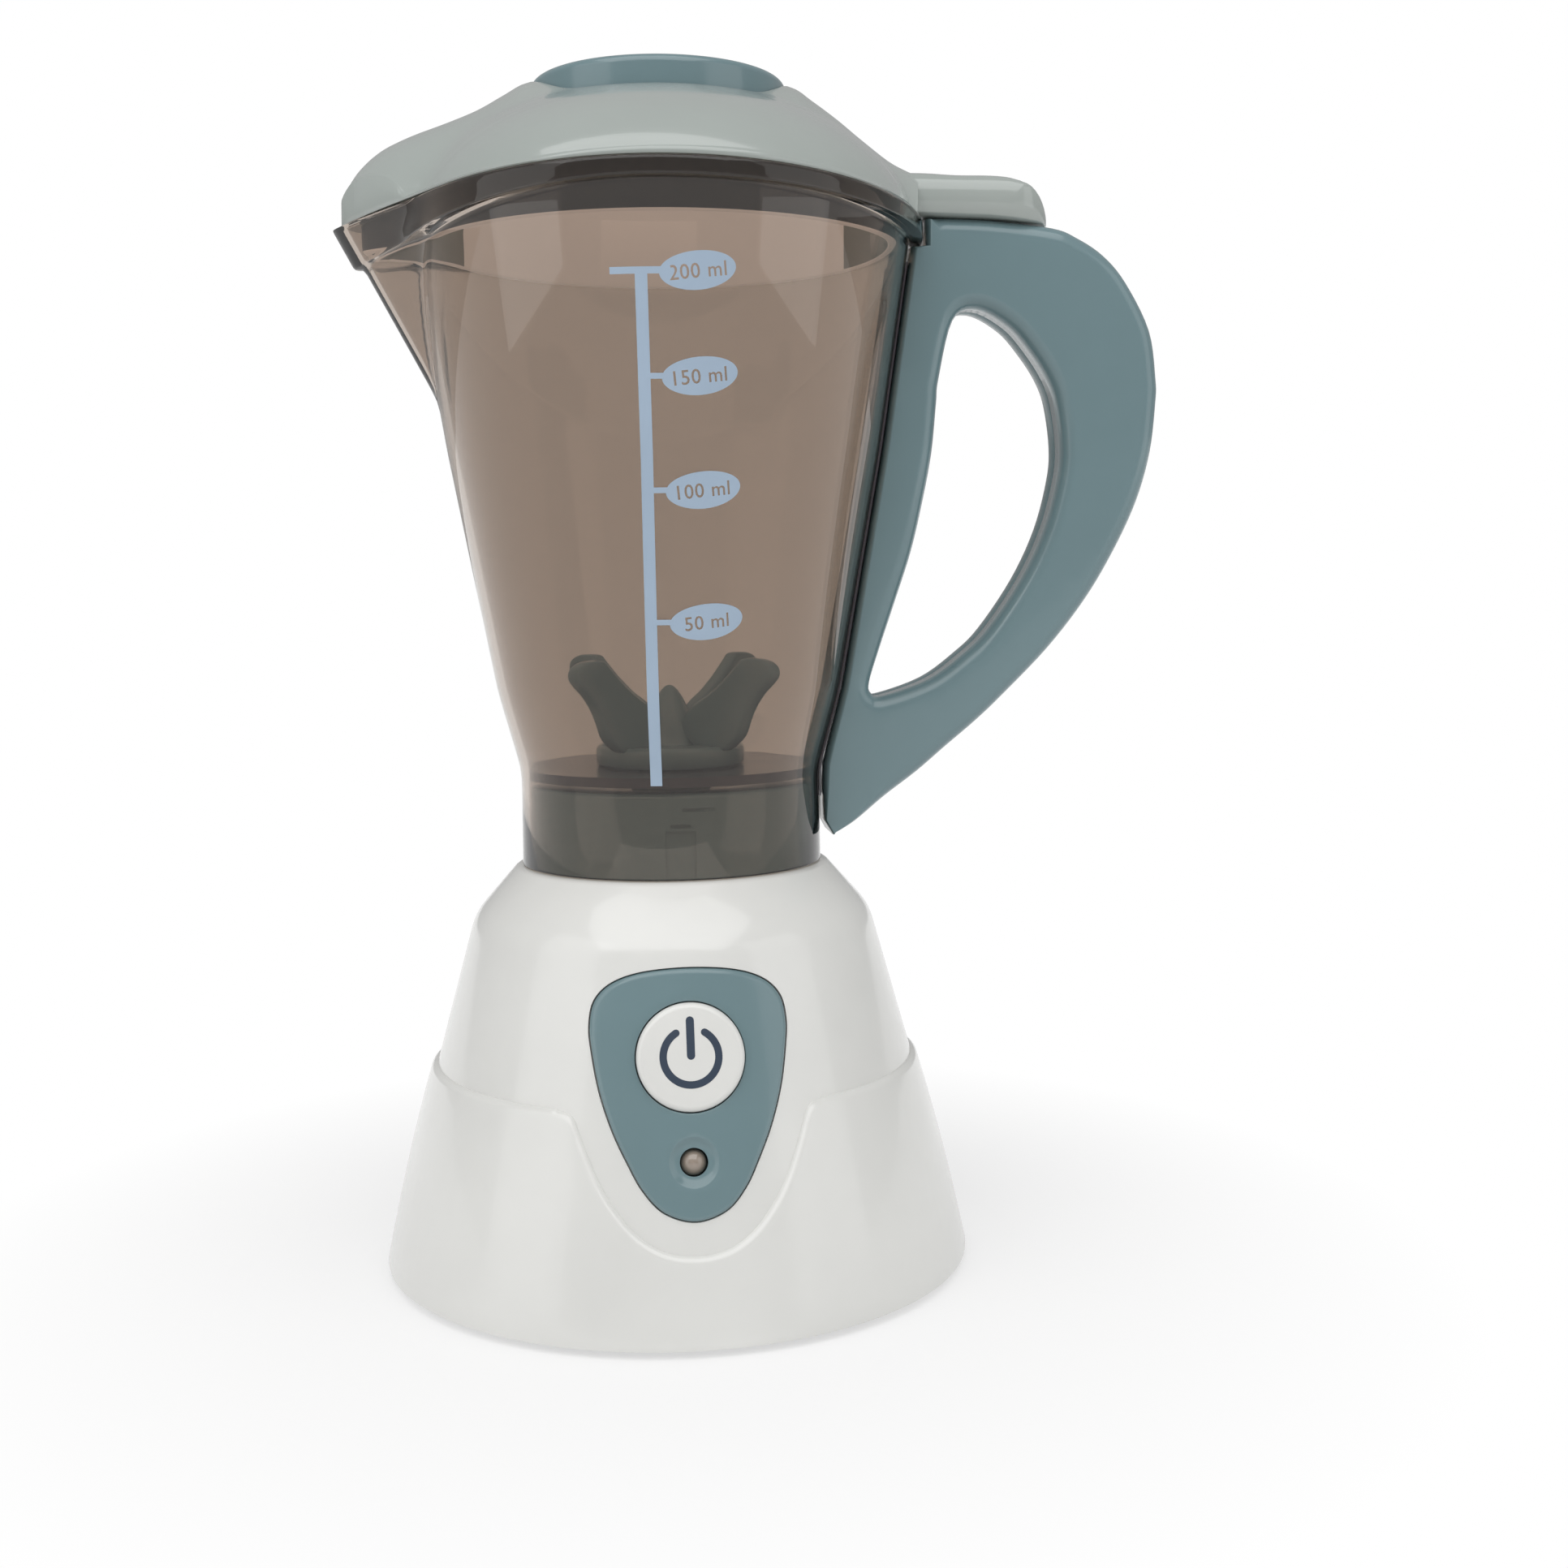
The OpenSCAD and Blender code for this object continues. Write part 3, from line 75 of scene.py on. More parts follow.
def table(x, rows):
    """Straight-line reading of rows of (x, value)."""
    if x <= rows[0][0]:
        return rows[0][1]
    for (xa, a), (xb, b) in zip(rows, rows[1:]):
        if x <= xb:
            return lerp(a, b, (x - xa) / (xb - xa))
    return rows[-1][1]


def smooth_line(points, per_span, closed=False):
    """Catmull-Rom line through points of any dimension."""
    n = len(points)
    pick = (lambda i: points[i % n]) if closed else (lambda i: points[min(max(i, 0), n - 1)])
    out = []
    for i in range(n if closed else n - 1):
        a, b, c, d = (Vector(pick(i + k)) for k in (-1, 0, 1, 2))
        for k in range(per_span):
            t = k / per_span
            out.append(0.5 * (2 * b + (c - a) * t + (2 * a - 5 * b + 4 * c - d) * t * t
                              + (3 * b - a - 3 * c + d) * t ** 3))
    if not closed:
        out.append(Vector(points[-1]))
    return out


def bend(a, b, c, count):
    """Points after a on a curve from a to c that leans towards b."""
    return [tuple((1 - t) ** 2 * p + 2 * t * (1 - t) * q + t * t * s for p, q, s in zip(a, b, c))
            for t in spread(0, 1, count)[1:]]


def soft_max(a, b, width):
    return (a + b + sqrt((a - b) ** 2 + width * width)) / 2


def make_piece(name, points, faces, material, sharp=40):
    """Mesh object from points in millimetres, smooth apart from edges sharper than the angle."""
    mesh = bpy.data.meshes.new(name)
    mesh.from_pydata([Vector(p) * MM for p in points], [], faces)
    piece = bpy.data.objects.new(name, mesh)
    bpy.context.collection.objects.link(piece)
    clean(piece, sharp)
    mesh.materials.append(material)
    return piece


def clean(piece, sharp):
    """Welds doubled points, turns the faces outwards and marks the sharp edges."""
    work = bmesh.new()
    work.from_mesh(piece.data)
    bmesh.ops.remove_doubles(work, verts=work.verts, dist=0.004 * MM)
    bmesh.ops.dissolve_degenerate(work, edges=work.edges, dist=0.002 * MM)
    bmesh.ops.recalc_face_normals(work, faces=work.faces)
    work.to_mesh(piece.data)
    work.free()
    piece.data.shade_smooth()
    piece.data.set_sharp_from_angle(angle=radians(sharp))


def skin(rings, close_rows=False):
    """Points of the rings, all of equal length, and the faces between them; each ring is a closed loop."""
    n = len(rings[0])
    faces = []
    for r in range(len(rings) if close_rows else len(rings) - 1):
        a, b = r * n, ((r + 1) % len(rings)) * n
        for c in range(n):
            d = (c + 1) % n
            faces.append((a + c, a + d, b + d, b + c))
    return [p for ring in rings for p in ring], faces


def capped_skin(rings):
    """Skin whose first and last ring are closed by a flat face."""
    points, faces = skin(rings)
    n = len(rings[0])
    return points, faces + [tuple(range(n)), tuple(range(len(points) - n, len(points)))]


def join(points, faces, more_points, more_faces):
    """Adds a second set of points and faces to the first."""
    faces += [tuple(len(points) + i for i in face) for face in more_faces]
    points += more_points


def carve(piece, cutters, operation="DIFFERENCE", sharp=40):
    """Applies an exact boolean with each cutter, which is then deleted."""
    for cutter in cutters:
        step = piece.modifiers.new("cut", "BOOLEAN")
        step.operation = operation
        step.solver = "EXACT"
        step.object = cutter
        seen = piece.evaluated_get(bpy.context.evaluated_depsgraph_get())
        shaped = bpy.data.meshes.new_from_object(seen)
        piece.modifiers.clear()
        old = piece.data
        piece.data = shaped
        bpy.data.meshes.remove(old)
        bpy.data.objects.remove(cutter)
    clean(piece, sharp)


def fit(piece, body, slot, *nodes):
    """The piece rides on a body and stands for CAD nodes, which it hides; slot is not used."""
    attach(piece, body)
    if nodes:
        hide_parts(*nodes)


def feed(tree, made, **inputs):
    """Sets a shader node's inputs, each a value or another node's output; _ stands for a space."""
    for name, value in inputs.items():
        socket = made.inputs[name.replace("_", " ")]
        if isinstance(value, bpy.types.NodeSocket):
            tree.links.new(value, socket)
        else:
            socket.default_value = value


def add_node(tree, kind, **inputs):
    made = tree.nodes.new("ShaderNode" + kind)
    feed(tree, made, **inputs)
    return made


def noise(tree, place, scale, detail):
    return add_node(tree, "TexNoise", Vector=place, Scale=scale, Detail=detail).outputs["Fac"]


def shades(tree, share, colour, darker, lighter, low=0.0, high=1.0):
    """A colour that wanders between a darker and a lighter shade as share goes from low to high."""
    ramp = add_node(tree, "ValToRGB", Fac=share)
    for stop, at, scale in zip(ramp.color_ramp.elements, (low, high), (darker, lighter)):
        stop.position = at
        stop.color = [min(1, c * scale) for c in colour] + [1]
    return ramp.outputs["Color"]


def between(tree, share, low, high, start=0.0, end=1.0):
    """A value that goes from low to high as share goes from start to end."""
    made = add_node(tree, "MapRange", Value=share, From_Min=start, From_Max=end, To_Min=low, To_Max=high)
    return made.outputs["Result"]


def new_material(name):
    """A node material: itself, its tree, its main shader and the object's own coordinates."""
    material = bpy.data.materials.new(name)
    material.use_nodes = True
    tree = material.node_tree
    return material, tree, tree.nodes["Principled BSDF"], add_node(tree, "TexCoord").outputs["Object"]


def plastic(name, colour, roughness, coat=0.0, grain=0.02, tint=0.03):
    """Injection-moulded plastic: faint flow in the colour, uneven gloss, and the slight waves of its skin."""
    material, tree, shader, place = new_material(name)
    noise_low, noise_high = 0.3, 0.7
    flow, gloss, waves = (noise(tree, place, *grade) for grade in ((32, 3), (140, 4), (420, 2)))
    bump = add_node(tree, "Bump", Strength=grain, Distance=0.5 * MM, Height=waves)
    feed(tree, shader, IOR=1.5, Coat_Weight=coat, Coat_Roughness=0.04, Normal=bump.outputs["Normal"],
         Base_Color=shades(tree, flow, colour, 1 - tint, 1 + tint, noise_low, noise_high),
         Roughness=between(tree, gloss, roughness * 0.85, roughness * 1.2, noise_low, noise_high))
    return material


white_plastic = plastic("white_plastic", (0.74, 0.74, 0.715), 0.2, coat=0.4)

base_low, base_high = node_box("base_housing")
base_r = base_high.x                       # foot of the cone
edge_z, top_z = base_low.z, base_high.z
cone_h = 70.5
shoulder_z, shoulder_r, shoulder_round = edge_z + cone_h, 40.3, 2.6
deck_r, deck_round, deck_hole_r = 31.5, 0.9, 12.0
slope = (base_r - shoulder_r) / cone_h
tilt = atan(slope)
wall_t = 2.4
foot_round = 0.6
band_z, notch_z = edge_z + 40.8, edge_z + 15.8
band_step, band_bulge, band_edge = 1.4, 0.5, 1.1
notch_r, notch_reach, notch_soft = base_r * 0.86, 26, 1.2


def cone_r(z):
    return base_r - slope * (z - edge_z)


def band_r(z):
    t = min(max((z - edge_z) / (band_z - edge_z - band_edge), 0), 1)
    return lerp(base_r, cone_r(band_z) + band_step, t) + 4 * band_bulge * t * (1 - t)


# Right half of the band's dip: distance from the middle, height above its lowest point
notch_half = [(0, 0), (5.2, 0.9), (9.6, 3.5), (13.5, 7.6), (16.9, 12.4), (19.4, 17.1), (21.2, 20.7),
              (22.6, 23.6), (24.2, 25.2), (notch_reach, 26)]
notch_line = smooth_line([(-x, up) for x, up in reversed(notch_half[1:])] + notch_half, 4)


def band_top(angle):
    """Height of the band's upper edge; angle from the front towards +X."""
    x = notch_r * sin(angle)
    if cos(angle) < 0 or abs(x) > notch_reach:
        return band_z
    dip = notch_z + table(x, notch_line)
    return band_z - soft_max(band_z - dip, 0, notch_soft) + 0.3 * max(0, 1 - abs(x) / notch_reach)


def around(angle, r, z):
    return (r * sin(angle), -r * cos(angle), z)


def angles(step_at):
    """Angles of one turn; step_at gives the step in degrees, closer where there is more to show."""
    angle, out = -180.0, []
    while angle < 180:
        out.append(radians(angle))
        angle += step_at(abs(angle))
    return out


def housing_column(angle):
    """Closed section of the housing: up the outside, over the deck, and down the inside."""
    top = band_top(angle)
    lean = (band_top(angle + 0.004) - band_top(angle - 0.004)) / (0.008 * cone_r(top))
    reach = band_edge * sqrt(1 + lean * lean)
    foot_z = edge_z + foot_round
    rows = [(cone_r(edge_z) - wall_t, edge_z), (base_r - 0.5, edge_z), (base_r - 0.12, edge_z + 0.12),
            (band_r(foot_z), foot_z)]
    rows += [(band_r(z), z) for z in spread(foot_z, top - reach, 14)[1:]]
    proud = band_r(top - reach) - cone_r(top - reach)
    for a in (15, 30, 45, 60, 75, 86, 90):
        z = top - reach + reach * sin(radians(a))
        rows.append((cone_r(z) + proud * cos(radians(a)), z))
    soft_z = shoulder_z - shoulder_round
    rows += [(cone_r(z), z) for z in spread(top + 0.02, soft_z, 16)[1:]]
    rows += bend((cone_r(soft_z), soft_z), (shoulder_r, shoulder_z), (shoulder_r - 2.1, shoulder_z + 2.4), 6)
    rows += bend((deck_r + 0.8, top_z - deck_round), (deck_r, top_z), (deck_r - 1.2, top_z), 5)
    inside_z = edge_z + 38.5
    return rows + [(deck_hole_r, top_z), (deck_hole_r, top_z - wall_t), (deck_r - wall_t, top_z - wall_t),
                   (shoulder_r - wall_t, shoulder_z - 1), (cone_r(inside_z) - wall_t, inside_z)]


def lathe_rings(turns, column, place):
    """Rings through the sections that column gives at each angle."""
    sections = [column(t) for t in turns]
    return [[place(t, *section[row]) for t, section in zip(turns, sections)] for row in range(len(sections[0]))]


columns = angles(lambda a: 0.5 if a < 36 else 1.5)
housing = make_piece("housing", *skin(lathe_rings(columns, housing_column, around), True), white_plastic)

# Outline of the control panel seen from the front: right half from the bottom up, x and z
panel_half = [(0, 23.6), (5.6, 25.2), (9.3, 28.9), (12.0, 33.7), (14.6, 39.3), (16.7, 45.9), (17.9, 52.8),
              (18.2, 57.2), (17.2, 61.6), (13.9, 64.9), (8.2, 66.9), (0, 67.6)]
panel_outline = smooth_line(panel_half + [(-x, z) for x, z in reversed(panel_half[1:-1])], 8, closed=True)
panel_gap, panel_proud, panel_t, panel_window = 0.3, 0.6, 2.0, 2.4


def offset_outline(points, d, share=None):
    """Closed counter-clockwise outline moved inwards by d, times each point's own share."""
    n, out = len(points), []
    for i, p in enumerate(points):
        run = (Vector(points[(i + 1) % n]) - Vector(points[i - 1])).normalized()
        out.append(Vector(p) + d * (share[i] if share else 1) * Vector((-run.y, run.x)))
    return out


def inside(point, outline):
    odd = False
    for a, b in zip(outline, outline[1:] + outline[:1]):
        if (a[1] > point[1]) != (b[1] > point[1]):
            if point[0] < a[0] + (point[1] - a[1]) / (b[1] - a[1]) * (b[0] - a[0]):
                odd = not odd
    return odd


def front_prism(outline, near, far):
    """Block with an outline in XZ, between two depths in front of the axis."""
    rings = [[(p[0], -depth, p[1]) for p in outline] for depth in (near, far)]
    return make_piece("prism", *capped_skin(rings), white_plastic)


def on_front(x, z, proud):
    """Point of the front surface that is seen at x, z."""
    return Vector((x, -sqrt((cone_r(z) + proud) ** 2 - x * x), z))


def pocket_cutter(outline, depth):
    """Block in front of a cone that lies depth under the housing's surface."""
    n = len(outline)
    points, faces = skin([[on_front(p[0], p[1], -depth) for p in outline],
                          [(p[0], -base_r - 10, p[1]) for p in outline]])
    faces.append(tuple(range(n, 2 * n)))
    grid = [Vector((x, z)) for x in spread(-18, 18, 18) for z in spread(24, 67, 22)]
    keep = [q for q in grid if inside(q, offset_outline(outline, 0.8))]
    flat, _, tris, *_ = delaunay_2d_cdt([Vector(p) for p in outline] + keep, [], [list(range(n))], 1, 1e-6)
    join(points, faces, [on_front(p[0], p[1], -depth) for p in flat], tris)
    return make_piece("pocket", points, faces, white_plastic)


carve(housing, [pocket_cutter(offset_outline(panel_outline, -panel_gap), panel_t - panel_proud),
                front_prism(offset_outline(panel_outline, panel_window), 20, base_r + 10)])
fit(housing, "base", "white_plastic", "base_housing")


# ---- Control panel ----
# A blue-grey shield pressed into the housing's pocket, bent to the cone, with a bevelled rim that catches the
# light. It is one moulding with a round hole for the power button and a dish and small hole for the lamp.

accent_plastic = plastic("blue_grey_plastic", (0.152, 0.235, 0.255), 0.22, coat=0.3)

button_z = edge_z + 50.5
button_r, button_hole_r = 10.0, 10.2
lamp_down, lamp_r, dish_r, dish_depth = 19.0, 2.5, 4.5, 0.9
bevel_w = 0.9


def on_panel(u, v, w):
    """Point in the panel's own frame: across, up the slope, and out of it, from the button's centre."""
    return Vector((u, v * sin(tilt) - w * cos(tilt) - cone_r(button_z),
                   v * cos(tilt) + w * sin(tilt) + button_z))


def lift_to_cone(u, v, proud):
    """The panel-frame point (u, v) moved out to the surface that stands proud of the cone."""
    w = 0.0
    for _ in range(8):
        p = on_panel(u, v, w)
        w += (cone_r(p.z) + proud - hypot(p.x, p.y)) * cos(tilt)
    return on_panel(u, v, w)


def circle(r, count, cx=0.0, cy=0.0):
    return [Vector((cx + r * cos(2 * pi * i / count), cy + r * sin(2 * pi * i / count))) for i in range(count)]


def fill_outlines(outer, holes, pitch):
    """Triangles between an outline and its holes, with inner points so that a bent face stays smooth."""
    flat = [Vector(p) for p in outer]
    loops = [list(range(len(outer)))]
    for hole in holes:
        loops.append(list(range(len(flat), len(flat) + len(hole))))
        flat += [Vector(p) for p in hole]
    rim, edge_clear = list(flat), pitch * 0.45
    low, high = ([pick(p[k] for p in outer) for k in (0, 1)] for pick in (min, max))
    columns, rows = (ceil((high[k] - low[k]) / pitch) for k in (0, 1))
    for q in (Vector((low[0] + i * pitch, low[1] + j * pitch)) for i in range(columns) for j in range(rows)):
        if inside(q, outer) and not any(inside(q, hole) for hole in holes):
            if min((q - p).length for p in rim) > edge_clear:
                flat.append(q)
    co, _, tris, *_ = delaunay_2d_cdt(flat, [], loops, 2, 1e-6)
    return co, tris


# The panel's side and rounded rim: how far proud of the cone, how far in from the outline
rim = [(panel_proud - panel_t, 0), (panel_proud - bevel_w * 0.55, 0), (panel_proud - 0.3, 0.08),
       (panel_proud - 0.12, 0.3), (panel_proud - 0.02, 0.62), (panel_proud, bevel_w)]
panel_rings = [[on_front(p[0], p[1], proud) for p in offset_outline(panel_outline, inward)]
               for proud, inward in rim]
points, faces = skin(panel_rings)


def hole_rings(cv, rings):
    """Rings of a round hole or dish in the panel: (radius, depth under the face)."""
    return [[lift_to_cone(p[0], p[1], panel_proud) - Vector((0, -cos(tilt), sin(tilt))) * depth
             for p in circle(radius, 64, 0, cv)] for radius, depth in rings]


holes = [hole_rings(0, [(button_hole_r + 0.25, 0), (button_hole_r + 0.07, 0.07), (button_hole_r, 0.25),
                        (button_hole_r, 3)]),
         hole_rings(-lamp_down, [(dish_r + 0.2, 0), (dish_r, 0.08), (dish_r - 0.5, 0.5),
                                 (lamp_r + 0.8, dish_depth - 0.05), (lamp_r + 0.4, dish_depth),
                                 (lamp_r + 0.1, dish_depth + 0.05), (lamp_r + 0.1, 3.4)])]
for hole in holes:
    join(points, faces, *skin(hole))
flat, tris = fill_outlines([Vector((p.x, p.z)) for p in panel_rings[-1]],
                           [[Vector((p.x, p.z)) for p in hole[0]] for hole in holes], 1.3)
join(points, faces, [on_front(p[0], p[1], panel_proud) for p in flat], tris)
panel = make_piece("control_shield", points, faces, accent_plastic, sharp=50)
fit(panel, "base", "accent_plastic", "control_panel")


# ---- Power button ----
# A round white push button, 20 mm across, slightly domed, in a close hole. Its on/off sign is pad-printed in
# dark blue ink. A flange behind the panel keeps it in, and it presses the switch's plunger.

button_proud, button_dome, button_edge = 1.7, 0.35, 1.2
flange_r, flange_depth, flange_t = button_r + 1.3, 5.6, 1.2
axis_r = 0.01                              # a turned profile's point on its axis


def button_top(r):
    """Height of the button's face above the panel's origin."""
    flat_r = button_r - button_edge
    crown = button_proud - button_dome * (min(r, flat_r) / flat_r) ** 2
    if r <= flat_r:
        return crown
    return crown - button_edge + sqrt(max(0, button_edge ** 2 - (r - flat_r) ** 2))


def upright(u, v, w):
    return (u, v, w)


def turned(profile, count, place=upright, closed=True):
    """Surface of revolution of (radius, height) points; place puts (u, v, w) in the model."""
    return skin([[place(p[0], p[1], h) for p in circle(r, count)] for r, h in profile], closed)


radii = [axis_r] + spread(0, button_r - button_edge, 9)[1:]
radii += [button_r - button_edge + button_edge * sin(radians(a)) for a in (15, 30, 45, 60, 75, 90)]
profile = [(r, button_top(r)) for r in radii]
profile += [(button_r, -flange_depth), (flange_r, -flange_depth), (flange_r, -flange_depth - flange_t),
            (axis_r, -flange_depth - flange_t)]
button = make_piece("push_button", *turned(profile, 96, on_panel, False), white_plastic)
fit(button, "button", "white_plastic", "power_button")

print_blue = plastic("printed_dark_blue", (0.028, 0.045, 0.075), 0.42, grain=0.05, tint=0.08)
ink_t = 0.03
sign_r, sign_w, sign_gap = 5.1, 1.35, 31
bar_w, bar_low, bar_high = 1.5, 0.2, 6.6


def film(strips, shares, place):
    """Thin printed film; each strip is a list of pairs across its width, split at the given shares."""
    points, faces = [], []
    across = len(shares)
    for strip in strips:
        rows = [place(lerp(a[0], b[0], t), lerp(a[1], b[1], t)) for a, b in strip for t in shares]
        join(points, faces, rows, [(k, k + 1, k + across + 1, k + across) for k in range(len(rows) - across)
                                   if (k + 1) % across])
    return points, faces


def rounded_strip(path, width):
    """Pairs across a line of given width, with round ends."""
    out = []
    for i, p in enumerate(path):
        run = (path[min(i + 1, len(path) - 1)] - path[max(i - 1, 0)]).normalized()
        across = Vector((-run.y, run.x)) * width / 2
        out.append((p - across, p + across))
    for end, step in ((0, -1), (-1, 1)):
        run = (path[1] - path[0]).normalized() if end == 0 else (path[-1] - path[-2]).normalized()
        across = Vector((-run.y, run.x)) * width / 2
        caps = []
        for a in (22, 45, 66, 88):
            tip = path[end] + step * run * width / 2 * sin(radians(a))
            caps.append((tip - across * cos(radians(a)), tip + across * cos(radians(a))))
        out = list(reversed(caps)) + out if end == 0 else out + caps
    return out


arc = [Vector((sign_r * sin(radians(a)), sign_r * cos(radians(a))))
       for a in spread(sign_gap, 360 - sign_gap, 60)]
bar = [Vector((0, v)) for v in spread(bar_low, bar_high, 10)]
points, faces = film([rounded_strip(arc, sign_w), rounded_strip(bar, bar_w)], (0, 0.34, 0.66, 1),
                     lambda u, v: on_panel(u, v, button_top(hypot(u, v)) + ink_t))
fit(make_piece("power_sign", points, faces, print_blue), "button", "accent_plastic")


# ---- Indicator lamp ----
# A standard 5 mm lamp in cloudy, faintly brown epoxy, stuck up through the panel's dish on its two legs. It is
# off, so its round lens only catches the light.

lamp_epoxy = plastic("lamp_epoxy", (0.30, 0.245, 0.20), 0.12, coat=0.8, tint=0.12)
lens_top, lamp_base, lamp_foot = -0.25, -6, -7
profile = [(axis_r, lens_top)]
profile += [(lamp_r * sin(radians(a)), lens_top - lamp_r + lamp_r * cos(radians(a))) for a in range(10, 91, 10)]
profile += [(lamp_r, lamp_base), (lamp_r + 0.4, lamp_base), (lamp_r + 0.4, lamp_foot), (axis_r, lamp_foot)]
lens = make_piece("lamp_lens", *turned(profile, 48, lambda u, v, w: on_panel(u, v - lamp_down, w), False),
                  lamp_epoxy)
fit(lens, "base", "lamp_lens", "indicator_led")


# ---- Jug seat ----
# The blue-grey drum screwed on the housing's deck, that the jug's collar drops over. A slot and two small marks
# in front key the jug. The drive dog turns in the recess in its middle.

_, seat_high = node_box("jug_seat")
seat_r, seat_top = seat_high.x, seat_high.z
recess_r, recess_low = 9.2, seat_top - 8.6
shaft_hole_r, seat_wall = 1.6, 2


def quarter(r, h, edge, steps=(0, 22, 45, 68, 90)):
    """Rounded outer corner of a turned profile, from the side to the top."""
    return [(r - edge + edge * cos(radians(a)), h - edge + edge * sin(radians(a))) for a in steps]


profile = [(seat_r, top_z)] + quarter(seat_r, seat_top, 1.0)
profile += [(recess_r + 0.5, seat_top), (recess_r + 0.15, seat_top - 0.15), (recess_r, seat_top - 0.5),
            (recess_r, recess_low), (shaft_hole_r, recess_low), (shaft_hole_r, recess_low - seat_wall),
            (seat_r - seat_wall, recess_low - seat_wall), (seat_r - seat_wall, top_z)]
seat = make_piece("seat_drum", *turned(profile, 144), accent_plastic)


# Key slot and the two marks in front: across, height over the deck, width, depth and height
keys = [(0, 4.2, 5.8, 1.2, 10.6), (0, 10.4, 3.8, 1.4, 0.7), (3.5, 13.5, 6.2, 1.6, 0.7)]
corners = ((-1, -1), (1, -1), (1, 1), (-1, 1))
carve(seat, [front_prism([(x + side * width / 2, top_z + up + rise * height / 2) for side, rise in corners],
                         seat_r - depth / 2, seat_r + depth / 2) for x, up, width, depth, height in keys])
fit(seat, "base", "accent_plastic", "jug_seat")


# ---- Underside: bottom cover, battery door and rubber foot ----
# A flat white cover closes the housing from below, held by four screws. It carries the battery box, whose door
# has a finger grip and one screw. A ring of soft black rubber stands out of a groove in the cover.

foot_rubber = plastic("foot_rubber", (0.028, 0.028, 0.03), 0.62, grain=0.25, tint=0.15)
foot_low, foot_high = node_box("foot_ring")
foot_r, foot_w, foot_edge = foot_high.x, 3.0, 0.6
outer_r, inner_r, low_z = foot_r - foot_edge, foot_r - foot_w + foot_edge, foot_low.z + foot_edge
corner = [(foot_edge * cos(radians(a)), foot_edge * sin(radians(a))) for a in (0, 30, 60, 90)]
profile = [(outer_r + across, low_z - down) for across, down in corner]
profile += [(inner_r - down, low_z - across) for across, down in corner]
profile += [(foot_r - foot_w, foot_high.z), (foot_r, foot_high.z)]
foot = make_piece("rubber_foot", *turned(profile, 144), foot_rubber)
fit(foot, "base", "foot_rubber", "foot_ring")


def finish_nodes(material, *names):
    """Gives CAD nodes that stay in view their finish."""
    for name in names:
        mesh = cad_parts[name].data
        mesh.materials.clear()
        mesh.materials.append(material)


matt_white = plastic("matt_white_plastic", (0.72, 0.72, 0.70), 0.45, grain=0.12)
finish_nodes(matt_white, "bottom_cover", "battery_door")


# ---- Works inside the base ----
# The circuit board with its switch, the battery contacts, two AA cells, the small motor, its pinion and the big
# gear in a nylon frame, and the dogs that carry the turn up into the jug: the CAD's own pieces, hidden but for
# the drive dog. Only the button's return spring is made again, as a coil.


def metal(name, colour, roughness, brushed=0.0):
    """Plated or drawn metal with fine drawing lines and uneven polish."""
    material, tree, shader, place = new_material(name)
    stretch = add_node(tree, "Mapping", Vector=place, Scale=(1, 1, 0.08) if brushed else (1, 1, 1))
    lines = noise(tree, stretch.outputs["Vector"], 2600 if brushed else 700, 3)
    bump = add_node(tree, "Bump", Strength=0.1 + brushed, Distance=0.05 * MM, Height=lines)
    feed(tree, shader, Metallic=1, Base_Color=shades(tree, lines, colour, 0.86, 1.06),
         Roughness=between(tree, lines, roughness * 0.7, roughness * 1.4), Normal=bump.outputs["Normal"])
    return material


screw_steel = metal("screw_steel", (0.60, 0.61, 0.63), 0.3)
brass = metal("turned_brass", (0.72, 0.52, 0.22), 0.25, brushed=0.1)
nylon = plastic("natural_nylon", (0.68, 0.66, 0.58), 0.5, grain=0.1, tint=0.05)
black_plastic = plastic("black_plastic", (0.025, 0.025, 0.028), 0.4, grain=0.08, tint=0.2)
cell_sleeve = plastic("cell_sleeve", (0.42, 0.10, 0.04), 0.3, coat=0.5, tint=0.1)
finish_nodes(screw_steel, "seat_screws", "board_screws", "cover_screws", "door_screw", "battery_contacts",
             "battery_springs", "gear_frame_screws", "motor_screws", "motor_shaft", "output_shaft",
             "handle_screws", "blade_shaft", "blade_washer")
finish_nodes(brass, "motor_terminals", "output_bush", "motor_pinion", "blade_bush")
finish_nodes(nylon, "gear_frame", "switch_plunger", "drive_gear", "drive_dog", "driven_dog")
finish_nodes(black_plastic, "switch_body", "motor_endcap")
finish_nodes(cell_sleeve, "battery_cell_1", "battery_cell_2")
finish_nodes(metal("drawn_steel", (0.52, 0.53, 0.55), 0.28, brushed=0.15), "motor_can")
finish_nodes(metal("enamelled_copper", (0.55, 0.20, 0.08), 0.35, brushed=0.3), "motor_armature")
finish_nodes(plastic("circuit_board_green", (0.03, 0.12, 0.05), 0.35, grain=0.3, tint=0.25), "circuit_board")
finish_nodes(plastic("wire_sleeve", (0.36, 0.03, 0.025), 0.45, tint=0.1), "lead_wires")

# The return spring stands round the switch's plunger
spring_low, spring_high, spring_r, spring_wire, spring_coils = -12.0, -6.9, 3.1, 0.3, 4
spring_rings = []
for t in spread(0, 1, 20 * spring_coils):
    turn, w = 2 * pi * spring_coils * t, lerp(spring_low + spring_wire, spring_high - spring_wire, t)
    ring = [(spring_r + p.x, w + p.y) for p in circle(spring_wire, 8)]
    spring_rings.append([on_panel(r * cos(turn), r * sin(turn), height) for r, height in ring])
spring = make_piece("return_spring", *capped_skin(spring_rings), screw_steel)
fit(spring, "base", "screw_steel", "button_spring")
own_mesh(spring)


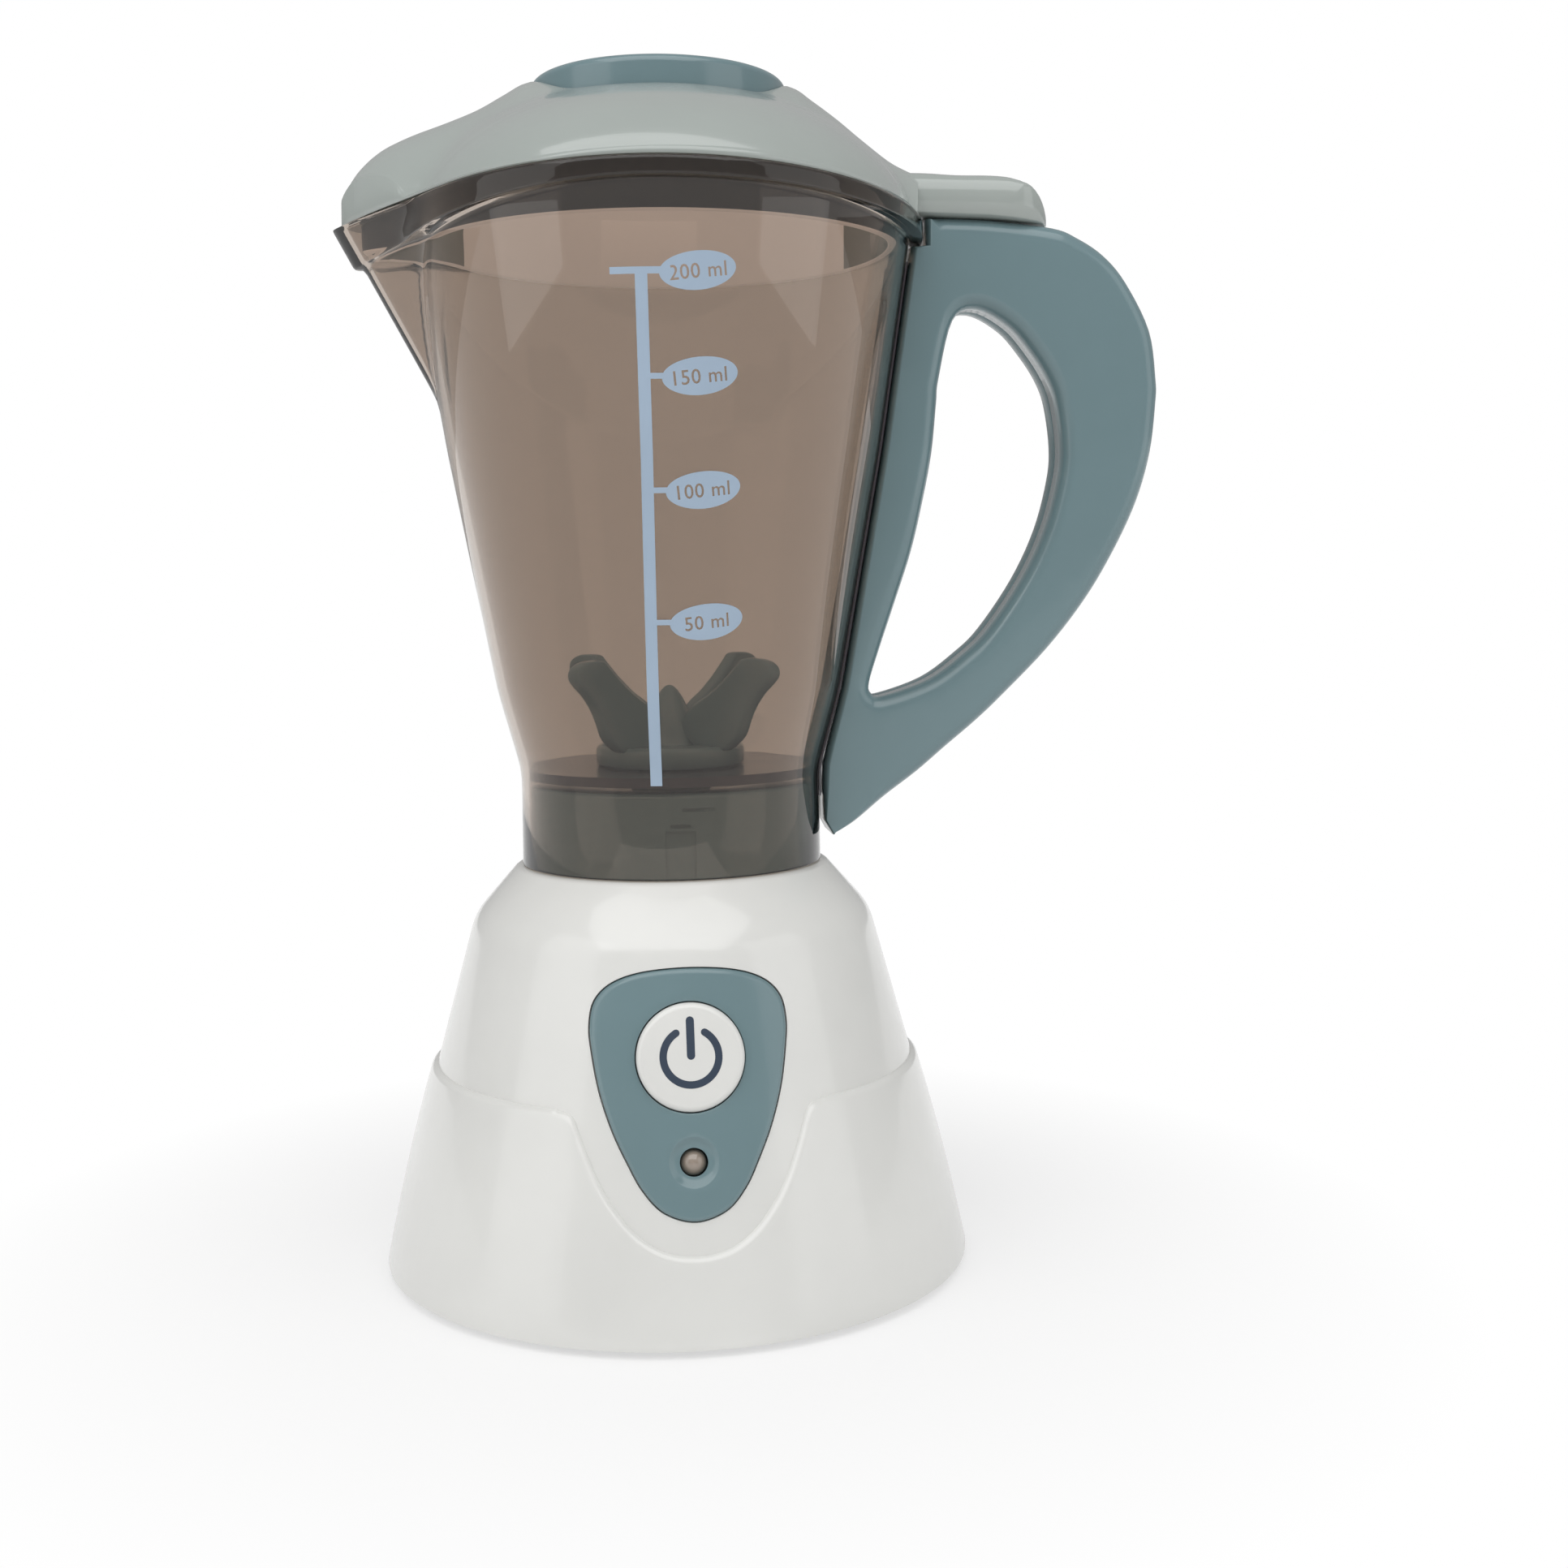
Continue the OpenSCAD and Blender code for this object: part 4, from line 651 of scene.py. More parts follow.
# ---- Jug shell ----
# The see-through jug, one moulding in smoke-tinted polystyrene, 1.8 mm thick: a collar that sits on the deck, a
# dark floor, a flaring wall, a pointed spout and a thicker lip whose top bows down towards the spout.


def mix_to_output(tree, share, first, second):
    mix = add_node(tree, "MixShader", Fac=share)
    tree.links.new(first, mix.inputs[1])
    tree.links.new(second, mix.inputs[2])
    tree.links.new(mix.outputs["Shader"], tree.nodes["Material Output"].inputs["Surface"])


def clear_plastic(name, tint, roughness):
    """Clear tinted plastic. Shadow rays pass through it tinted, so what is inside stays lit."""
    material, tree, shader, place = new_material(name)
    flow = noise(tree, place, 26, 2)
    feed(tree, shader, Transmission_Weight=1, IOR=1.46, Base_Color=shades(tree, flow, tint, 0.985, 1.015),
         Roughness=between(tree, flow, roughness * 0.7, roughness * 1.3))
    through = add_node(tree, "BsdfTransparent", Color=[sqrt(c) for c in tint] + [1])
    shadow = add_node(tree, "LightPath").outputs["Is Shadow Ray"]
    mix_to_output(tree, shadow, shader.outputs["BSDF"], through.outputs["BSDF"])
    return material


smoke_plastic = clear_plastic("smoke_plastic", (0.48, 0.41, 0.355), 0.015)

lip_z = top_z + 129.8
collar_z, collar_r = top_z + 0.15, 30.5
waist_z, waist_r = collar_z + 18.8, 30.3
flare_z, flare_r = waist_z + 16, 34.6
belly_z, belly_r = (flare_z + lip_z) / 2, 43.1
mouth_r = 50.2
jug_wall, lip_proud, lip_h = 1.8, 1.7, 3.5
floor_top = waist_z + 0.9
floor_low = floor_top - 2
over_z = lip_z + 4                         # the wall is drawn on past the lip, which cuts it off
mouth_slope = (mouth_r - belly_r) / (lip_z - belly_z)
jug_corners = [(collar_z, collar_r), (waist_z, waist_r), (flare_z, flare_r), (belly_z, belly_r),
               (over_z + 6, belly_r + mouth_slope * (over_z + 6 - belly_z))]
jug_bend = 2.2                             # each break in the wall is rounded this far up and down
jug_rows = jug_corners[:1]
for z, r in jug_corners[1:-1]:
    below, above = table(z - jug_bend, jug_corners), table(z + jug_bend, jug_corners)
    jug_rows += [(z - jug_bend, below), (z, (below + 2 * r + above) / 4), (z + jug_bend, above)]
jug_rows.append(jug_corners[-1])


def jug_r(z):
    return table(z, jug_rows)


arch_x, arch_r, lip_arch_r = -3.0, 420.0, 190.0


def arch_z(x):
    """Height of the lip's top edge, which bows down to both sides."""
    return lip_z - (x - arch_x) ** 2 / (2 * arch_r)


def lip_low_z(x):
    return lip_z - lip_h - (x - arch_x) ** 2 / (2 * (lip_arch_r if x < arch_x else arch_r))


spout_reach, keel_h = 66.0, 36.7
keel_z = arch_z(-spout_reach) - keel_h
keel_foot = jug_r(keel_z) - 0.2
keel_slope = (spout_reach - lip_proud - 0.4 - keel_foot) / keel_h
keel_side = sqrt(1 + keel_slope ** 2)
keel_blunt, wall_blend = 0.035, 0.5


def spout_r(turn, z, inward):
    """Reach of the spout's two flat sides; turn is the angle from the spout's middle."""
    tip = keel_foot + keel_slope * (z - keel_z) - inward * keel_side
    if tip <= 0:
        return 0.0
    tip_top = keel_foot + keel_slope * (over_z - keel_z) - inward * keel_side
    touch = acos(min(1, (belly_r + mouth_slope * (over_z - belly_z) - inward) / tip_top))
    blunt = sqrt(turn * turn + keel_blunt ** 2)
    return tip * cos(touch) / cos(min(blunt, touch) - touch)


def wall_r(turn, z, inward):
    """Radius of the jug's wall, moved in from the outside."""
    return soft_max(jug_r(z) - inward, spout_r(turn, z, inward), wall_blend) - 0.1


def lip_r(turn, z):
    return soft_max(mouth_r + lip_proud, spout_r(turn, z, -lip_proud), wall_blend) - 0.1


def spout_side(turn, r, z):
    """Point at an angle from the spout, which points to -X."""
    return (-r * cos(turn), r * sin(turn), z)


def rim_z(turn, r):
    return arch_z(-r * cos(turn))


def jug_column(turn):
    """Closed section of the jug's wall at one angle: up the outside, over the lip, and down the inside."""
    rows = [(collar_r - 1.5, collar_z), (collar_r - 0.4, collar_z), (collar_r - 0.1, collar_z + 0.15),
            (wall_r(turn, collar_z + 0.5, 0), collar_z + 0.5)]
    lip_low = top = lip_z - lip_h
    for _ in range(6):
        lip_low = lip_low_z(-lip_r(turn, lip_low) * cos(turn))
        top = rim_z(turn, lip_r(turn, top))
    rows += [(wall_r(turn, z, 0), z) for z in spread(collar_z + 2, lip_low - 0.9, 52)]
    rows += [(wall_r(turn, lip_low, 0), lip_low - 0.35), (wall_r(turn, lip_low, 0) + 0.35, lip_low),
             (lip_r(turn, lip_low) - 0.4, lip_low), (lip_r(turn, lip_low) - 0.1, lip_low + 0.12)]
    rows += [(lip_r(turn, z), z) for z in spread(lip_low + 0.45, top - 0.7, 4)]
    rows += [(lip_r(turn, top) - 0.2, top - 0.2), (lip_r(turn, top) - 0.7, top)]
    inner_top = wall_r(turn, top, jug_wall)
    inner_z = rim_z(turn, inner_top)
    rows += [(inner_top + 0.5, inner_z), (inner_top + 0.12, inner_z - 0.15)]
    rows += [(wall_r(turn, z, jug_wall), z) for z in spread(inner_z - 0.5, floor_top, 50)]
    return rows + [(collar_r - jug_wall, floor_low), (collar_r - jug_wall, collar_z + 0.3)]


jug_turns = angles(lambda a: 0.35 if a < 5 else 1.0 if a < 40 else 1.5)
jug = make_piece("jug", *skin(lathe_rings(jug_turns, jug_column, spout_side), True), smoke_plastic, sharp=50)
fit(jug, "jug", "smoke_plastic", "jug_shell")

# The floor takes up more of the tint, and looks nearly black
# This dark finish also serves the painted shade strip behind the handle
floor_and_shade_plastic = plastic("dark_floor_plastic", (0.05, 0.043, 0.058), 0.22, coat=0.3, tint=0.06)
floor_r, bush_r, boss_r, boss_h = collar_r - jug_wall - 0.1, 3.6, 6.4, 1.8
profile = [(floor_r, floor_low), (floor_r, floor_top), (boss_r + 0.5, floor_top), (boss_r, floor_top + 0.5)]
profile += quarter(boss_r, floor_top + boss_h, 0.4) + [(bush_r, floor_top + boss_h), (bush_r, floor_low)]
jug_floor = make_piece("jug_floor", *turned(profile, 96), floor_and_shade_plastic)
fit(jug_floor, "jug", "smoke_plastic", "jug_shell")

# Painted shade: a thin near-black strip fills the gap between the wall and the handle, where the handle shades
# the wall
shade_strip_low, shade_strip_high, shade_strip_half, shade_strip_gap, shade_strip_out = top_z + 13, lip_z - 10.5, 6.0, 0.02, 0.3
shade_strip_rings = []
for z in spread(shade_strip_low, shade_strip_high, 40):
    across = [(out, y / jug_r(z)) for out, half in ((shade_strip_gap, shade_strip_half), (shade_strip_out, -shade_strip_half))
              for y in spread(-half, half, 6)]
    shade_strip_rings.append([((jug_r(z) + out) * cos(a), (jug_r(z) + out) * sin(a), z) for out, a in across])
jug_fin = make_piece("jug_fin", *capped_skin(shade_strip_rings), floor_and_shade_plastic)
fit(jug_fin, "jug", "smoke_plastic", "jug_shell")


# ---- Scale printed on the jug ----
# Pale blue ink, screen-printed on the outside: an upright bar with a cross-bar on top, three ticks, and four
# tilted ovals with the millilitre marks left bare in them.

print_pale = plastic("printed_pale_blue", (0.36, 0.46, 0.58), 0.5, grain=0.05, tint=0.04)
film_t = 0.05


def jug_front(angle, z):
    """Point of the print on the jug's outside; angle from the front towards +X."""
    return around(angle, jug_r(z) + film_t, z)


# Middle of the bar: angle in degrees by height
bar_line = [(99.4, -8.5), (126.4, -8.2), (161.4, -7.66), (191.2, -7.67), (193.5, -7.67)]
bar_half, bar_foot, bar_head = 1.1, 100.4, 192.6
upright_bar = [[(radians(table(z, bar_line)) + side * bar_half / jug_r(z), z) for side in (-1, 1)]
               for z in spread(bar_foot, bar_head, 60)]


def level_strip(start, end, z, width, count):
    """Level strip between two angles in degrees."""
    return [((radians(a), z - width / 2), (radians(a), z + width / 2)) for a in spread(start, end, count)]


cross_z, cross_w, tick_w = 192.9, 1.2, 1.0
strips = [upright_bar, level_strip(-14.35, -1.4, cross_z, cross_w, 14)]
# Ovals: text, centre angle and height
marks = [("200", 4.42, cross_z), ("150", 5.11, 175.0), ("100", 6.21, 155.1), ("50", 7.76, 131.3)]
oval_w, oval_h, oval_tilt, letter_h = 13.7, 6.6, radians(6), 3.6
for _, angle, z in marks[1:]:
    strips.append(level_strip(table(z, bar_line), angle - degrees(oval_w * 0.46 / jug_r(z)), z, tick_w, 6))
scale_bar = make_piece("scale_bar", *film(strips, (0, 0.5, 1), jug_front), print_pale)
fit(scale_bar, "jug", "accent_plastic")


def letter_outlines(text, size):
    """Outlines of a short text, centred, in millimetres."""
    curve = bpy.data.curves.new("letters", "FONT")
    curve.body = text
    curve.size = size
    curve.space_character = 1.06
    curve.offset = 0.025
    curve.resolution_u = 3
    holder = bpy.data.objects.new("letters", curve)
    bpy.context.collection.objects.link(holder)
    mesh = bpy.data.meshes.new_from_object(holder.evaluated_get(bpy.context.evaluated_depsgraph_get()))
    work = bmesh.new()
    work.from_mesh(mesh)
    bmesh.ops.remove_doubles(work, verts=work.verts, dist=1e-5)
    edges = {e for e in work.edges if e.is_boundary}
    loops = []
    while edges:
        first = edges.pop()
        start, vert = first.verts
        loop = [start.co.to_2d()]
        while vert is not start:
            loop.append(vert.co.to_2d())
            step = next((e for e in vert.link_edges if e in edges), None)
            if step is None:
                break
            edges.discard(step)
            vert = step.other_vert(vert)
        loops.append(loop)
    work.free()
    bpy.data.objects.remove(holder)
    bpy.data.curves.remove(curve)
    bpy.data.meshes.remove(mesh)
    low, high = (Vector([pick(p[k] for loop in loops for p in loop) for k in (0, 1)]) for pick in (min, max))
    return [[p - (low + high) / 2 for p in loop] for loop in loops]


def area(loop):
    return sum(a.x * b.y - b.x * a.y for a, b in zip(loop, loop[1:] + loop[:1])) / 2


for text, angle, z in marks:
    oval = [Vector((oval_w / 2 * cos(a) * (1 + 0.05 * sin(a)), oval_h / 2 * sin(a)))
            for a in spread(0, 2 * pi, 56)[:-1]]
    points = [p.copy() for p in oval]
    loops = [list(range(len(oval)))]
    for loop in letter_outlines(text + " ml", letter_h):
        if abs(area(loop)) > 0.01:
            loops.append(list(range(len(points), len(points) + len(loop))))
            points += loop
    for x in spread(-6, 6, 12):
        for y in spread(-2.8, 2.8, 5):
            if hypot(x / (oval_w / 2 - 0.5), y / (oval_h / 2 - 0.5)) < 1:
                points.append(Vector((x + 0.013, y + 0.017)))
    flat, _, tris, *_ = delaunay_2d_cdt(points, [], loops, 2, 1e-6)
    tilted = [Matrix.Rotation(oval_tilt, 2) @ p for p in flat]
    placed = [jug_front(radians(angle) + p.x / jug_r(z), z + p.y) for p in tilted]
    fit(make_piece("mark_" + text, placed, tris, print_pale), "jug", "accent_plastic")


# ---- Handle ----
# Two hollow blue-grey halves that meet on the jug's middle plane and clamp the fin on its wall, held by three
# screws from behind. The edges are well rounded, and the upper end runs under the lid's tail.

handle_t, handle_edge, handle_gap = 15.0, 3.0, 0.35
handle_outer = [(32.4, 87.0), (37.1, 89.6), (43.4, 94.6), (50.0, 99.4), (56.0, 104.4), (62.0, 109.3),
                (67.5, 114.3), (77.3, 124.1), (85.2, 134), (91.2, 143.9), (95.9, 153.9), (98.7, 163.8),
                (99.8, 173.6), (99.8, 178.4), (98.3, 188.1), (93.3, 197.6), (88.6, 202.9), (83.2, 206.3),
                (78.0, 208.2), (65, 209.6), (54.5, 209.9)]
handle_loop = [(43.0, 115.0), (52.6, 118.2), (59.9, 123.3), (65.1, 128.3), (72.1, 138.4), (76.9, 148.5),
               (79.6, 158.6), (80.1, 165.3), (79.0, 173.6), (77.2, 178.6), (73.8, 183.8), (69.2, 188.9),
               (62.7, 192.2), (57.8, 189.9), (54.9, 178.4), (54.4, 173.6), (53.4, 163.8), (51.5, 154),
               (49.1, 144.1), (45.8, 134.2), (42.4, 124.3), (40.4, 117.9), (40.7, 115.7)]
lip_side = mouth_r + lip_proud + handle_gap
lip_side_z = lip_z - lip_h - 3.8
side_foot = 90
handle_side = [(lip_side, lip_z - 2.2), (lip_side, lip_side_z)]
handle_side += [(jug_r(z) + handle_gap, z) for z in spread(lip_side_z - 0.2, side_foot, 30)]
outer_line = smooth_line(handle_outer, 5)
handle_line = [tuple(p) for p in outer_line] + handle_side
loop_line = smooth_line(handle_loop, 5, closed=True)
# The rounding shrinks along the jug's side and towards the pointed foot
side_share, foot_share, foot_fade = 0.35, 0.1, 12
handle_share = [min(1, foot_share + (z - handle_outer[0][1]) / foot_fade)
                * (1 if i < len(outer_line) else side_share) for i, (_, z) in enumerate(handle_line)]
handle_screws = [(61.0, lip_z - 13), (40.5, top_z + 22), (89.5, top_z + 80)]
head_r, head_depth, thread_r = 2.9, 2.6, 1.5
seam_groove, seam_y = 0.18, 0.01


def handle_half(name, side):
    """Half of the handle on one side of the middle plane; side is -1 in front and 1 at the back."""
    def place(outline, y):
        return [(p[0], side * y, p[1]) for p in outline]

    half_t = handle_t / 2
    steps = [(seam_groove, seam_y), (0, seam_y + seam_groove)]
    for a in (0, 12, 24, 36, 48, 60, 72, 82, 90):
        steps.append((handle_edge * (1 - cos(radians(a))), half_t - handle_edge * (1 - sin(radians(a)))))
    outside = [(offset_outline(handle_line, inward, handle_share), y) for inward, y in steps]
    opening = [(offset_outline(loop_line, -inward), y) for inward, y in steps]
    holes = []
    if side > 0:
        holes = [(circle(head_r, 40, x, z), circle(thread_r, 40, x, z)) for x, z in handle_screws]
    points, faces = skin([place(*ring) for ring in outside])
    join(points, faces, *skin([place(*ring) for ring in opening]))
    for end, y, pick in ((-1, half_t, 0), (0, seam_y, 1)):
        flat, tris = fill_outlines(outside[end][0], [opening[end][0]] + [hole[pick] for hole in holes], 4)
        join(points, faces, place(flat, y), tris)
    for wide, narrow in holes:
        seat_y = half_t - head_depth
        join(points, faces, *skin([place(wide, half_t), place(wide, seat_y), place(narrow, seat_y),
                                   place(narrow, seam_y)]))
    return make_piece(name, points, faces, accent_plastic, sharp=50)


fit(handle_half("handle_front", -1), "jug", "accent_plastic", "handle_front_half")
fit(handle_half("handle_rear", 1), "jug", "accent_plastic", "handle_rear_half")


# ---- Blade ----
# A toy blade in blunt blue-grey plastic: a round hub with a pointed middle and four curled fins. It is pressed
# on a steel shaft that turns in the brass bush in the jug's floor.

blade_low, _ = node_box("blade")
hub_low, hub_h, hub_r, hub_wall = blade_low.z, 4.0, 15.1, 2
hub_top = hub_low + hub_h
# Side view of a fin and of the pointed middle: radius, height over the hub
fin_points = [(9, -1), (14.6, -1), (17.2, 0.4), (19.2, 2.4), (20.4, 5.2), (21.9, 8.0), (24.0, 10.6),
              (26.2, 12.6), (27.4, 14.2), (27.1, 16.0), (25.2, 17.2), (22.5, 17.6), (20, 17.4),
              (18.6, 16.2), (15.2, 13.2), (11.1, 10.2), (7.6, 8.2), (5.2, 6.0), (4, 3)]
spike = [(6.9, -0.5), (6.2, 0.3), (5.6, 2.1), (4.4, 5.5), (2.9, 8.9), (1.8, 10.7), (1.1, 11.4), (0.5, 11.75),
         (axis_r, 11.8)]
fin_t, fin_edge = 3.2, 0.7
profile = [(hub_r, hub_low + 0.3)] + quarter(hub_r, hub_top, 1.2)
profile += [(axis_r, hub_top), (axis_r, hub_top - 1), (hub_r - hub_wall, hub_top - 1),
            (hub_r - hub_wall, hub_low), (hub_r - 0.3, hub_low)]
points, faces = turned(profile, 96)
join(points, faces, *turned([(r, hub_top + up) for r, up in spike], 64, closed=False))
fin_line = smooth_line(fin_points, 4, closed=True)
flat, tris = fill_outlines(offset_outline(fin_line, fin_edge), [], 2)
# Rounded edges, from one flat side of a fin to the other: place across, how far in
fin_side = [(0, 0), (0.5, 0.13), (0.87, 0.5), (1, 1)]
fin_steps = [(side * (fin_t / 2 - fin_edge + fin_edge * out), fin_edge * inward)
             for side, part in ((-1, reversed(fin_side)), (1, fin_side)) for out, inward in part]
for turn in (radians(45 + 90 * k) for k in range(4)):
    def place_fin(outline, y):
        return [(p[0] * cos(turn) - y * sin(turn), p[0] * sin(turn) + y * cos(turn), hub_top + p[1])
                for p in outline]

    join(points, faces, *skin([place_fin(offset_outline(fin_line, inward), y) for y, inward in fin_steps]))
    for y in (-fin_t / 2, fin_t / 2):
        join(points, faces, place_fin(flat, y), tris)
blades = make_piece("blade_wheel", points, faces, accent_plastic, sharp=45)
fit(blades, "rotating_blade", "accent_plastic", "blade")


# ---- Lid ----
# A glossy dome in a slightly paler grey that snaps into the jug's mouth with a thin skirt. A soft crest runs
# from the spout over the dome to a thumb tail above the handle, and a round well in the top takes the cap.

# The dome's paler grey is partly its own colour and partly painted sheen: it is raised to stand in for the
# white sheen the dome reflects
lid_plastic = plastic("lid_plastic", (0.36, 0.395, 0.375), 0.16, coat=0.5)
lid_underside_painted_glow = plastic("lid_underside_painted_glow", (0.74, 0.68, 0.64), 0.5, grain=0.1)
# Painted glow: the underside is painted a pale warm tone and made to glow, standing in for light that comes
# down through the real lid's thin wall
feed(lid_underside_painted_glow.node_tree, lid_underside_painted_glow.node_tree.nodes["Principled BSDF"],
     Emission_Color=(0.95, 0.86, 0.80, 1), Emission_Strength=0.38)
# The skirt's outward faces are near-black
dark_skirt = plastic("dark_skirt", (0.02, 0.02, 0.023), 0.4, grain=0.1, tint=0.1)
dome_low, dome_h, dome_x, dome_y = lip_z - 6.8, 29.0, 50.5, 53.1
# Crest's height above the dome's foot, and its half width, by x
crest_line = [(-65, 1.2), (-63.4, 4.2), (-62.4, 6.8), (-60.2, 10.9), (-57.6, 14.4), (-53.5, 17.7), (-48, 20.2),
              (-41, 22.6), (-35, 25.0), (-30, 27.9), (-25, 30.5), (-15, 31.6), (0, 32.0), (15, 31.6),
              (25, 30.6), (29.4, 28.0), (34.5, 24.4), (39, 20.8), (44.7, 16.9), (49.5, 14.9), (52, 14.2)]
crest_width = [(-65, 4), (-62, 8.5), (-57, 13.5), (-50, 20), (-40, 25), (-25, 28), (0, 30), (25, 27), (40, 19),
               (52, 12)]
crest_table, width_table = smooth_line(crest_line, 4), smooth_line(crest_width, 4)
lid_r, lid_tip, lid_wall, lid_edge = 51.0, spout_reach - 1.6, 2.2, 0.35
nose_blunt, crest_blend = 0.05, 2.4
cap_z, cap_r, cap_crown = lip_z + 23.8, 25.0, 1.4
well_r, well_low, well_hole_r, well_t = cap_r + 0.15, cap_z - 6.2, 20.2, 2.4
skirt_z, skirt_gap, skirt_t = lip_z - 8.4, 0.6, 1.6


def lid_up(x, y):
    """Height of the dome and its crest above the dome's foot."""
    dome = dome_h * sqrt(max(0, 1 - (x / dome_x) ** 2 - (y / dome_y) ** 2))
    crest = table(x, crest_table) * sqrt(max(0, 1 - (y / table(x, width_table)) ** 2))
    return soft_max(dome, crest, crest_blend) - 0.6


def drop_reach(turn, r, tip):
    """Reach of the lid's drop-shaped plan at an angle from the spout, its point a little rounded."""
    touch = acos(r / tip)
    blunt = sqrt(turn * turn + nose_blunt ** 2)
    return r / cos(touch - min(blunt, touch))


def skirt_reach(turn):
    return wall_r(turn, skirt_z, jug_wall) - skirt_gap


def lid_column(turn):
    """Closed section of the lid: well's floor, well's wall, the dome down to its rim, skirt and underside."""
    c, s = -cos(turn), sin(turn)
    reach = drop_reach(turn, lid_r, lid_tip)
    edge = arch_z(reach * c) + 0.2
    rim_r = well_r + 0.5

    def outside(r):
        return dome_low + max(lid_up(r * c, r * s), 0.5)

    def above_edge(r):
        return max(outside(r), edge + 0.55)

    rows = [(well_hole_r, well_low - well_t), (well_hole_r, well_low), (well_r, well_low),
            (well_r, max(outside(well_r) - 0.5, well_low + 0.05)),
            (well_r + 0.15, max(outside(well_r) - 0.12, well_low + 0.1)), (rim_r, outside(rim_r))]
    # Rows close together towards the rim, where the dome is steep
    radii = [lerp(rim_r, reach - lid_edge, 1 - (1 - t) ** 1.25) for t in spread(0, 1, 40)[1:]]
    rows += [(r, above_edge(r)) for r in radii]
    rows += [(reach - 0.1, above_edge(reach - lid_edge) - 0.2), (reach, edge + 0.25), (reach - 0.15, edge)]
    skirt_r = skirt_reach(turn)
    inner = skirt_r - skirt_t
    rows += [(skirt_r, arch_z(skirt_r * c) + 0.2), (skirt_r, skirt_z + 0.3), (skirt_r - 0.3, skirt_z),
             (inner + 0.3, skirt_z), (inner, skirt_z + 0.3)]
    for r in spread(inner, well_hole_r + 2, 24)[:-1]:
        under = outside(r) - lid_wall
        rows.append((r, max(min(under, well_low + 0.6) if r < well_r else under, skirt_z + 1)))
    return rows + [(well_hole_r + 2, well_low - well_t)]


lid_turns = [radians(t) for t in spread(-180, 180, 300)[:-1]]
lid = make_piece("lid", *skin(lathe_rings(lid_turns, lid_column, spout_side), True), lid_plastic, sharp=50)
lid.data.materials.append(lid_underside_painted_glow)
lid.data.materials.append(dark_skirt)
# Faces under the dome take the pale painted glow (index 1); the skirt's outward faces take the near-black
# finish (index 2)
for face in lid.data.polygons:
    x, y, z = face.center / MM
    r, skirt_r = hypot(x, y), skirt_reach(atan2(y, -x))
    if r < skirt_r + 0.2 and z < arch_z(x) + 0.3:
        outward = face.normal.x * x + face.normal.y * y > 0
        face.material_index = 2 if outward and abs(face.normal.z) < 0.5 else 1
    elif r < skirt_r and face.normal.z < -0.1:
        face.material_index = 1

# Thumb tail above the handle: height of its ridge over the lip, by x
tail_start, tail_end, tail_w, tail_corner, tail_gap = 40.0, 77.9, 17.0, 5.0, 0.4
tail_ridge = [(tail_start, 7.4), (46, 7.2), (52, 7.1), (58, 6.5), (65, 6.5), (68.6, 6.1), (72.2, 4.7),
              (74.8, 2.8), (76.5, 0.6), (77.6, -1.4)]
tail_crown = 7.1
tail_under = [(tail_start, -1.6), (46, -1.7 + tail_gap), (65, -2.2 + tail_gap), (tail_end, -3.4 + tail_gap)]
ridge_table = smooth_line(tail_ridge, 4)


def tail_outline(inward):
    """Plan of the tail, moved in: straight sides and a round end."""
    half, end_x = tail_w / 2 - inward, tail_end - tail_w / 2
    sides = spread(tail_start, end_x, 24)
    end = [(end_x + half * sin(radians(a)), -half * cos(radians(a))) for a in spread(0, 180, 24)[1:]]
    return ([(x, -half) for x in sides] + end + [(x, half) for x in reversed(sides[:-1])]
            + [(tail_start, 0.0)])


def tail_top(x, y):
    side = max(0, abs(y) - (tail_w / 2 - tail_corner))
    crown = lip_z + tail_crown - tail_corner + sqrt(max(0, tail_corner ** 2 - side ** 2))
    return 0.3 - soft_max(-lip_z - table(x, ridge_table), -crown, 1.0)


def tail_low(x):
    return lip_z + table(x, tail_under)


tail_rings = [[(x, y, tail_low(x) + up) for x, y in tail_outline(inward)]
              for inward, up in ((0.3, 0), (0, 0.3))]
for inward in (0, 0.1, 0.35, 0.8, 1.4, 2.2, 3.2, 4.4, 5.8, 7.2, 8.3):
    drop = 0.5 - sqrt(0.25 - (0.5 - min(inward, 0.5)) ** 2)
    tail_rings.append([(x, y, max(tail_top(x, y) - drop, tail_low(x) + 0.6)) for x, y in tail_outline(inward)])
carve(lid, [make_piece("tail", *capped_skin(tail_rings), lid_plastic)], "UNION", sharp=50)
fit(lid, "lid", "lid_plastic", "lid_shell")


# ---- Lid cap ----
# A shallow round cap, blue-grey, pushed into the lid's well. Its top is slightly domed with a rounded edge.

neck_z, neck_r, neck_wall, neck_h, cap_edge = well_low + 0.02, 20.05, 1.8, 3.2, 1.6
cap_flat_r = cap_r - cap_edge
profile = [(neck_r - neck_wall, neck_z - neck_h), (neck_r - 0.3, neck_z - neck_h),
           (neck_r, neck_z - neck_h + 0.3), (neck_r, neck_z), (cap_r, neck_z)]
profile += quarter(cap_r, cap_z, cap_edge, spread(0, 84, 8))
profile += [(r, cap_z + cap_crown * (1 - (r / cap_flat_r) ** 2))
            for r in (22.5, 21, 19, 17, 15, 12, 9, 6, 3, axis_r)]
profile += [(axis_r, cap_z - 1), (neck_r - neck_wall, cap_z - 2)]
cap = make_piece("cap", *turned(profile, 144), accent_plastic)
fit(cap, "lid", "accent_plastic", "lid_cap")


# ---- Studio ----
# A plain white floor that runs into a white background, a large soft lamp above and in front, and two weaker
# ones at the sides. The camera stands where the photograph was taken.


def math_node(tree, operation, a, b):
    made = tree.nodes.new("ShaderNodeMath")
    made.operation = operation
    tree.links.new(a, made.inputs[0])
    tree.links.new(b, made.inputs[1])
    return made.outputs["Value"]


